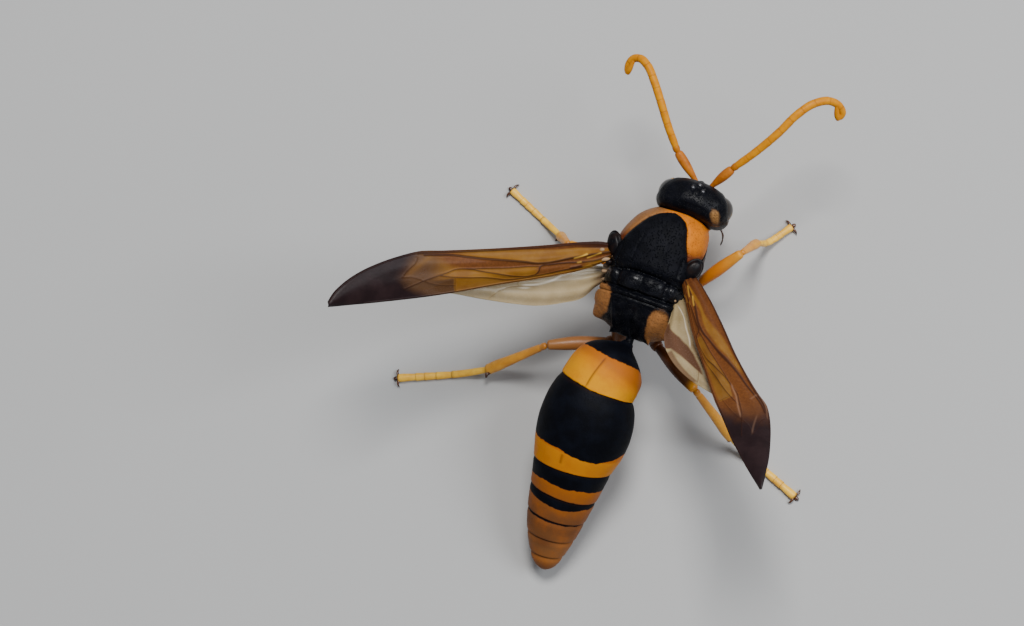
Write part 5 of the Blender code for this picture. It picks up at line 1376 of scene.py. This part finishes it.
def make_leg(word, finishes):
    """Coxa, trochanter, femur, tibia and five foot segments, each a rounded length set into the last."""
    size = LEG_SIZE[word.split("_")[0]]
    root, hip, *rest = LEGS[word]
    root, hip = from_body(root), from_body(hip)
    knee, ankle, bend, toe = (from_floor(point) for point in rest)
    dark_hip, dark_thigh, tan_thigh = LEG_TONES.get(word, PLAIN_LEG)
    skin = Skin()
    sides = LEG_SIDES

    coxa = (root, (root + hip) / 2, hip + 0.12 * unit(hip - root))
    skin.add(limb(coxa, 50, size, COXA_RADII, (0.05, 0.14), sides), dark=dark_hip, tan=tan_thigh,
             joint=ease(0.85, 1.0, shares(50)) * 0.5)

    ahead = unit(knee - hip)
    ring = (hip - 0.1 * ahead, hip + 0.35 * ahead, hip + 0.8 * ahead)
    skin.add(limb(ring, 30, size * RING_RADIUS, (0.75, 1.0, 1.05, 0.85), (0.1, 0.12), sides),
             dark=max(dark_hip * 0.8, dark_thigh), joint=0.35, tan=tan_thigh)

    start = hip + 0.62 * ahead
    t = shares(110)
    path = start + (knee + 0.02 * ahead - start) * t[:, None]
    path = path + 0.12 * UP * (4 * t * (1 - t))[:, None]
    dark = dark_thigh * (1 - ease(0.82, 1.0, t))
    if word == "mid_right":
        dark = dark + 0.48 * (1 - ease(0.0, 0.6, t))
    radii = size * rounded(110, FEMUR_RADII, (0.025, 0.045))
    skin.add(carry(path, radii, sides, 0.88), dark=dark, tan=tan_thigh, yellow=0.35 * ease(0.5, 1.0, t),
             joint=0.6 * ease(0.95, 1.0, t) + 0.4 * (1 - ease(0.0, 0.06, t)))

    down = unit(ankle - knee)
    start = knee + 0.02 * down
    length = np.linalg.norm(ankle - start)
    path = start + (ankle - start) * t[:, None]
    swell = size * rounded(110, TIBIA_RADII, (0.035, 0.03))
    swell = swell * (1 - 0.16 * hill((t - 0.09) * length, 0.1))
    skin.add(carry(path, swell, sides, 0.86), dark=0.25 * dark_thigh * (1 - ease(0.0, 0.5, t)),
             yellow=0.25 + 0.2 * t, tan=0.5 * tan_thigh * (1 - ease(0.1, 0.4, t)),
             joint=0.55 * (1 - ease(0.02, 0.08, t)) + 0.8 * ease(0.94, 0.99, t))

    line = smooth_path((ankle - 0.1 * down, bend, toe), 200)
    for first, last in zip(TARSUS_PARTS, TARSUS_PARTS[1:]):
        share = np.linspace(max(first - 0.02, 0.0), last, 60)
        path = np.column_stack([np.interp(share, shares(200), line[:, k]) for k in range(3)])
        table = (0.84, 0.95, 1.0, 1.04, 1.08) if last < 1.0 else (0.84, 0.9, 0.98, 1.04, 0.98)
        radii = size * TARSUS_RADIUS * (0.84 + 0.2 * last) * rounded(60, table, (0.05, 0.06))
        where = shares(60)
        skin.add(over_floor(carry(path, radii, sides, 0.86)), yellow=0.9,
                 joint=0.7 * ease(0.86, 0.96, where) + 0.3 * (1 - ease(0.0, 0.08, where)))
    nodes = [f"{part}_{word}" for part in ("coxa", "femur", "tibia", "tarsus")]
    skin.finish(f"leg_{word}", finishes["leg"], "leg_chitin", nodes)
    make_claws(word, toe, unit((toe - bend) * (1, 1, 0)), ankle, down, bend, size, finishes["claw"])


def make_claws(word, toe, ahead, ankle, down, bend, size, material):
    """Two curved claws and a pad at the toe, and short spurs at the back of the tibia's end."""
    skin = Skin()
    drawn_in, spread = CLAW_STANCE.get(word, (0.0, 1.0))
    toe = toe - drawn_in * ahead
    side = np.cross(ahead, (0.0, 0.0, 1.0))
    for hand in (1, -1):
        root = toe - 0.1 * ahead + hand * 0.06 * side
        wide = hand * spread * side
        line = (root, root + 0.08 * ahead + 0.2 * wide + 0.03 * UP,
                root + 0.08 * ahead + 0.39 * wide + 0.01 * UP, root + 0.54 * wide - 0.08 * UP)
        hook = limb(line, 30, CLAW_RADIUS, (1.0, 0.95, 0.8, 0.55, 0.18), (0.08, 0.06), 20)
        skin.add(over_floor(hook), tip=ease(0.4, 1.0, shares(30)))
    pad = egg((0, 0, 0), PAD_RADII, 20, 26)
    pad = pad[..., :1] * side + pad[..., 1:2] * ahead + pad[..., 2:] * UP + toe + 0.12 * ahead - 0.06 * UP
    skin.add(over_floor(pad), tip=0.2)
    flat = unit(np.cross(down, unit(bend - ankle)) + 1e-6)
    flat = flat * math.copysign(1.0, flat[1])
    for first, reach in SPURS.get(word) or SPURS[word.split("_")[0]]:
        root = ankle - first * down + 0.16 * size * flat
        tip = root + reach * size * unit(0.3 * down + flat)
        tip[2] = max(tip[2], 0.05)
        line = (root, (root + tip) / 2 + 0.03 * UP, tip)
        skin.add(limb(line, 30, SPUR_RADIUS * size, (1.0, 0.95, 0.75, 0.3), (0.06, 0.05), 18),
                 tip=0.3 + 0.4 * ease(0.5, 1.0, shares(30)))
    skin.finish(f"claws_{word}", material, "claw_chitin")


def make_floor(material):
    """A wide plain floor at z = 0."""
    mesh = bpy.data.meshes.new("floor")
    corners = [(x * FLOOR_HALF, y * FLOOR_HALF, 0) for x, y in ((-1, -1), (1, -1), (1, 1), (-1, 1))]
    mesh.from_pydata(corners, [], [(0, 1, 2, 3)])
    mesh.materials.append(material)
    add_object("floor", mesh)


def light_and_camera():
    """Soft studio light from the panels and an even pale sky, and the camera at the photo's angle."""
    for name, place, size, power, colour in LAMPS:
        data = bpy.data.lights.new(name, "AREA")
        data.shape = "DISK"
        data.size = size
        data.energy = power
        data.color = colour
        back = unit(np.array(place) - np.array(LAMP_TARGET))
        right = unit(np.cross((0.0, 1.0, 0.0001), back))
        add_object(name, data, np.column_stack([right, np.cross(back, right), back]), place)
    world = bpy.data.worlds.new("studio")
    world.use_nodes = True
    sky = world.node_tree.nodes["Background"]
    sky.inputs["Color"].default_value = (*SKY_COLOUR, 1.0)
    sky.inputs["Strength"].default_value = SKY_STRENGTH
    bpy.context.scene.world = world
    data = bpy.data.cameras.new("camera")
    data.lens = CAMERA_LENS
    data.sensor_width = CAMERA_SENSOR
    data.clip_start = CAMERA_NEAR
    turn = np.column_stack([CAMERA_RIGHT, CAMERA_UP, np.cross(CAMERA_RIGHT, CAMERA_UP)])
    bpy.context.scene.camera = add_object("camera", data, turn, np.array(CAMERA_PLACE) * MM)


def make_wasp():
    """All pieces of the wasp, then the floor, the light and the camera."""
    finishes = {
        "head": head_finish(),
        "eye": eye_finish(),
        "glass": glass_finish(),
        "clypeus": clypeus_finish(),
        "jaw": claw_finish("jaw_chitin", (0.035, 0.011, 0.006), (0.12, 0.035, 0.012)),
        "claw": claw_finish("claw_chitin", (0.03, 0.012, 0.008), (0.13, 0.045, 0.016)),
        "palp": claw_finish("palp_chitin", (0.03, 0.014, 0.009), (0.11, 0.045, 0.02)),
        "leg": leg_finish(),
    }
    make_thorax(thorax_finish())
    make_head(finishes)
    make_face(finishes)
    feeler = feeler_finish()
    for word, line in FEELERS.items():
        make_feeler(word, line, feeler)
    make_abdomen(abdomen_finish())
    amber, clear, cap = forewing_finish(), hindwing_finish(), tegula_finish()
    for word in WINGS:
        make_forewing(word, amber)
        make_hindwing(word, clear)
        make_wing_root(word, cap)
    for word in LEGS:
        make_leg(word, finishes)
    make_floor(floor_finish())
    light_and_camera()


make_wasp()
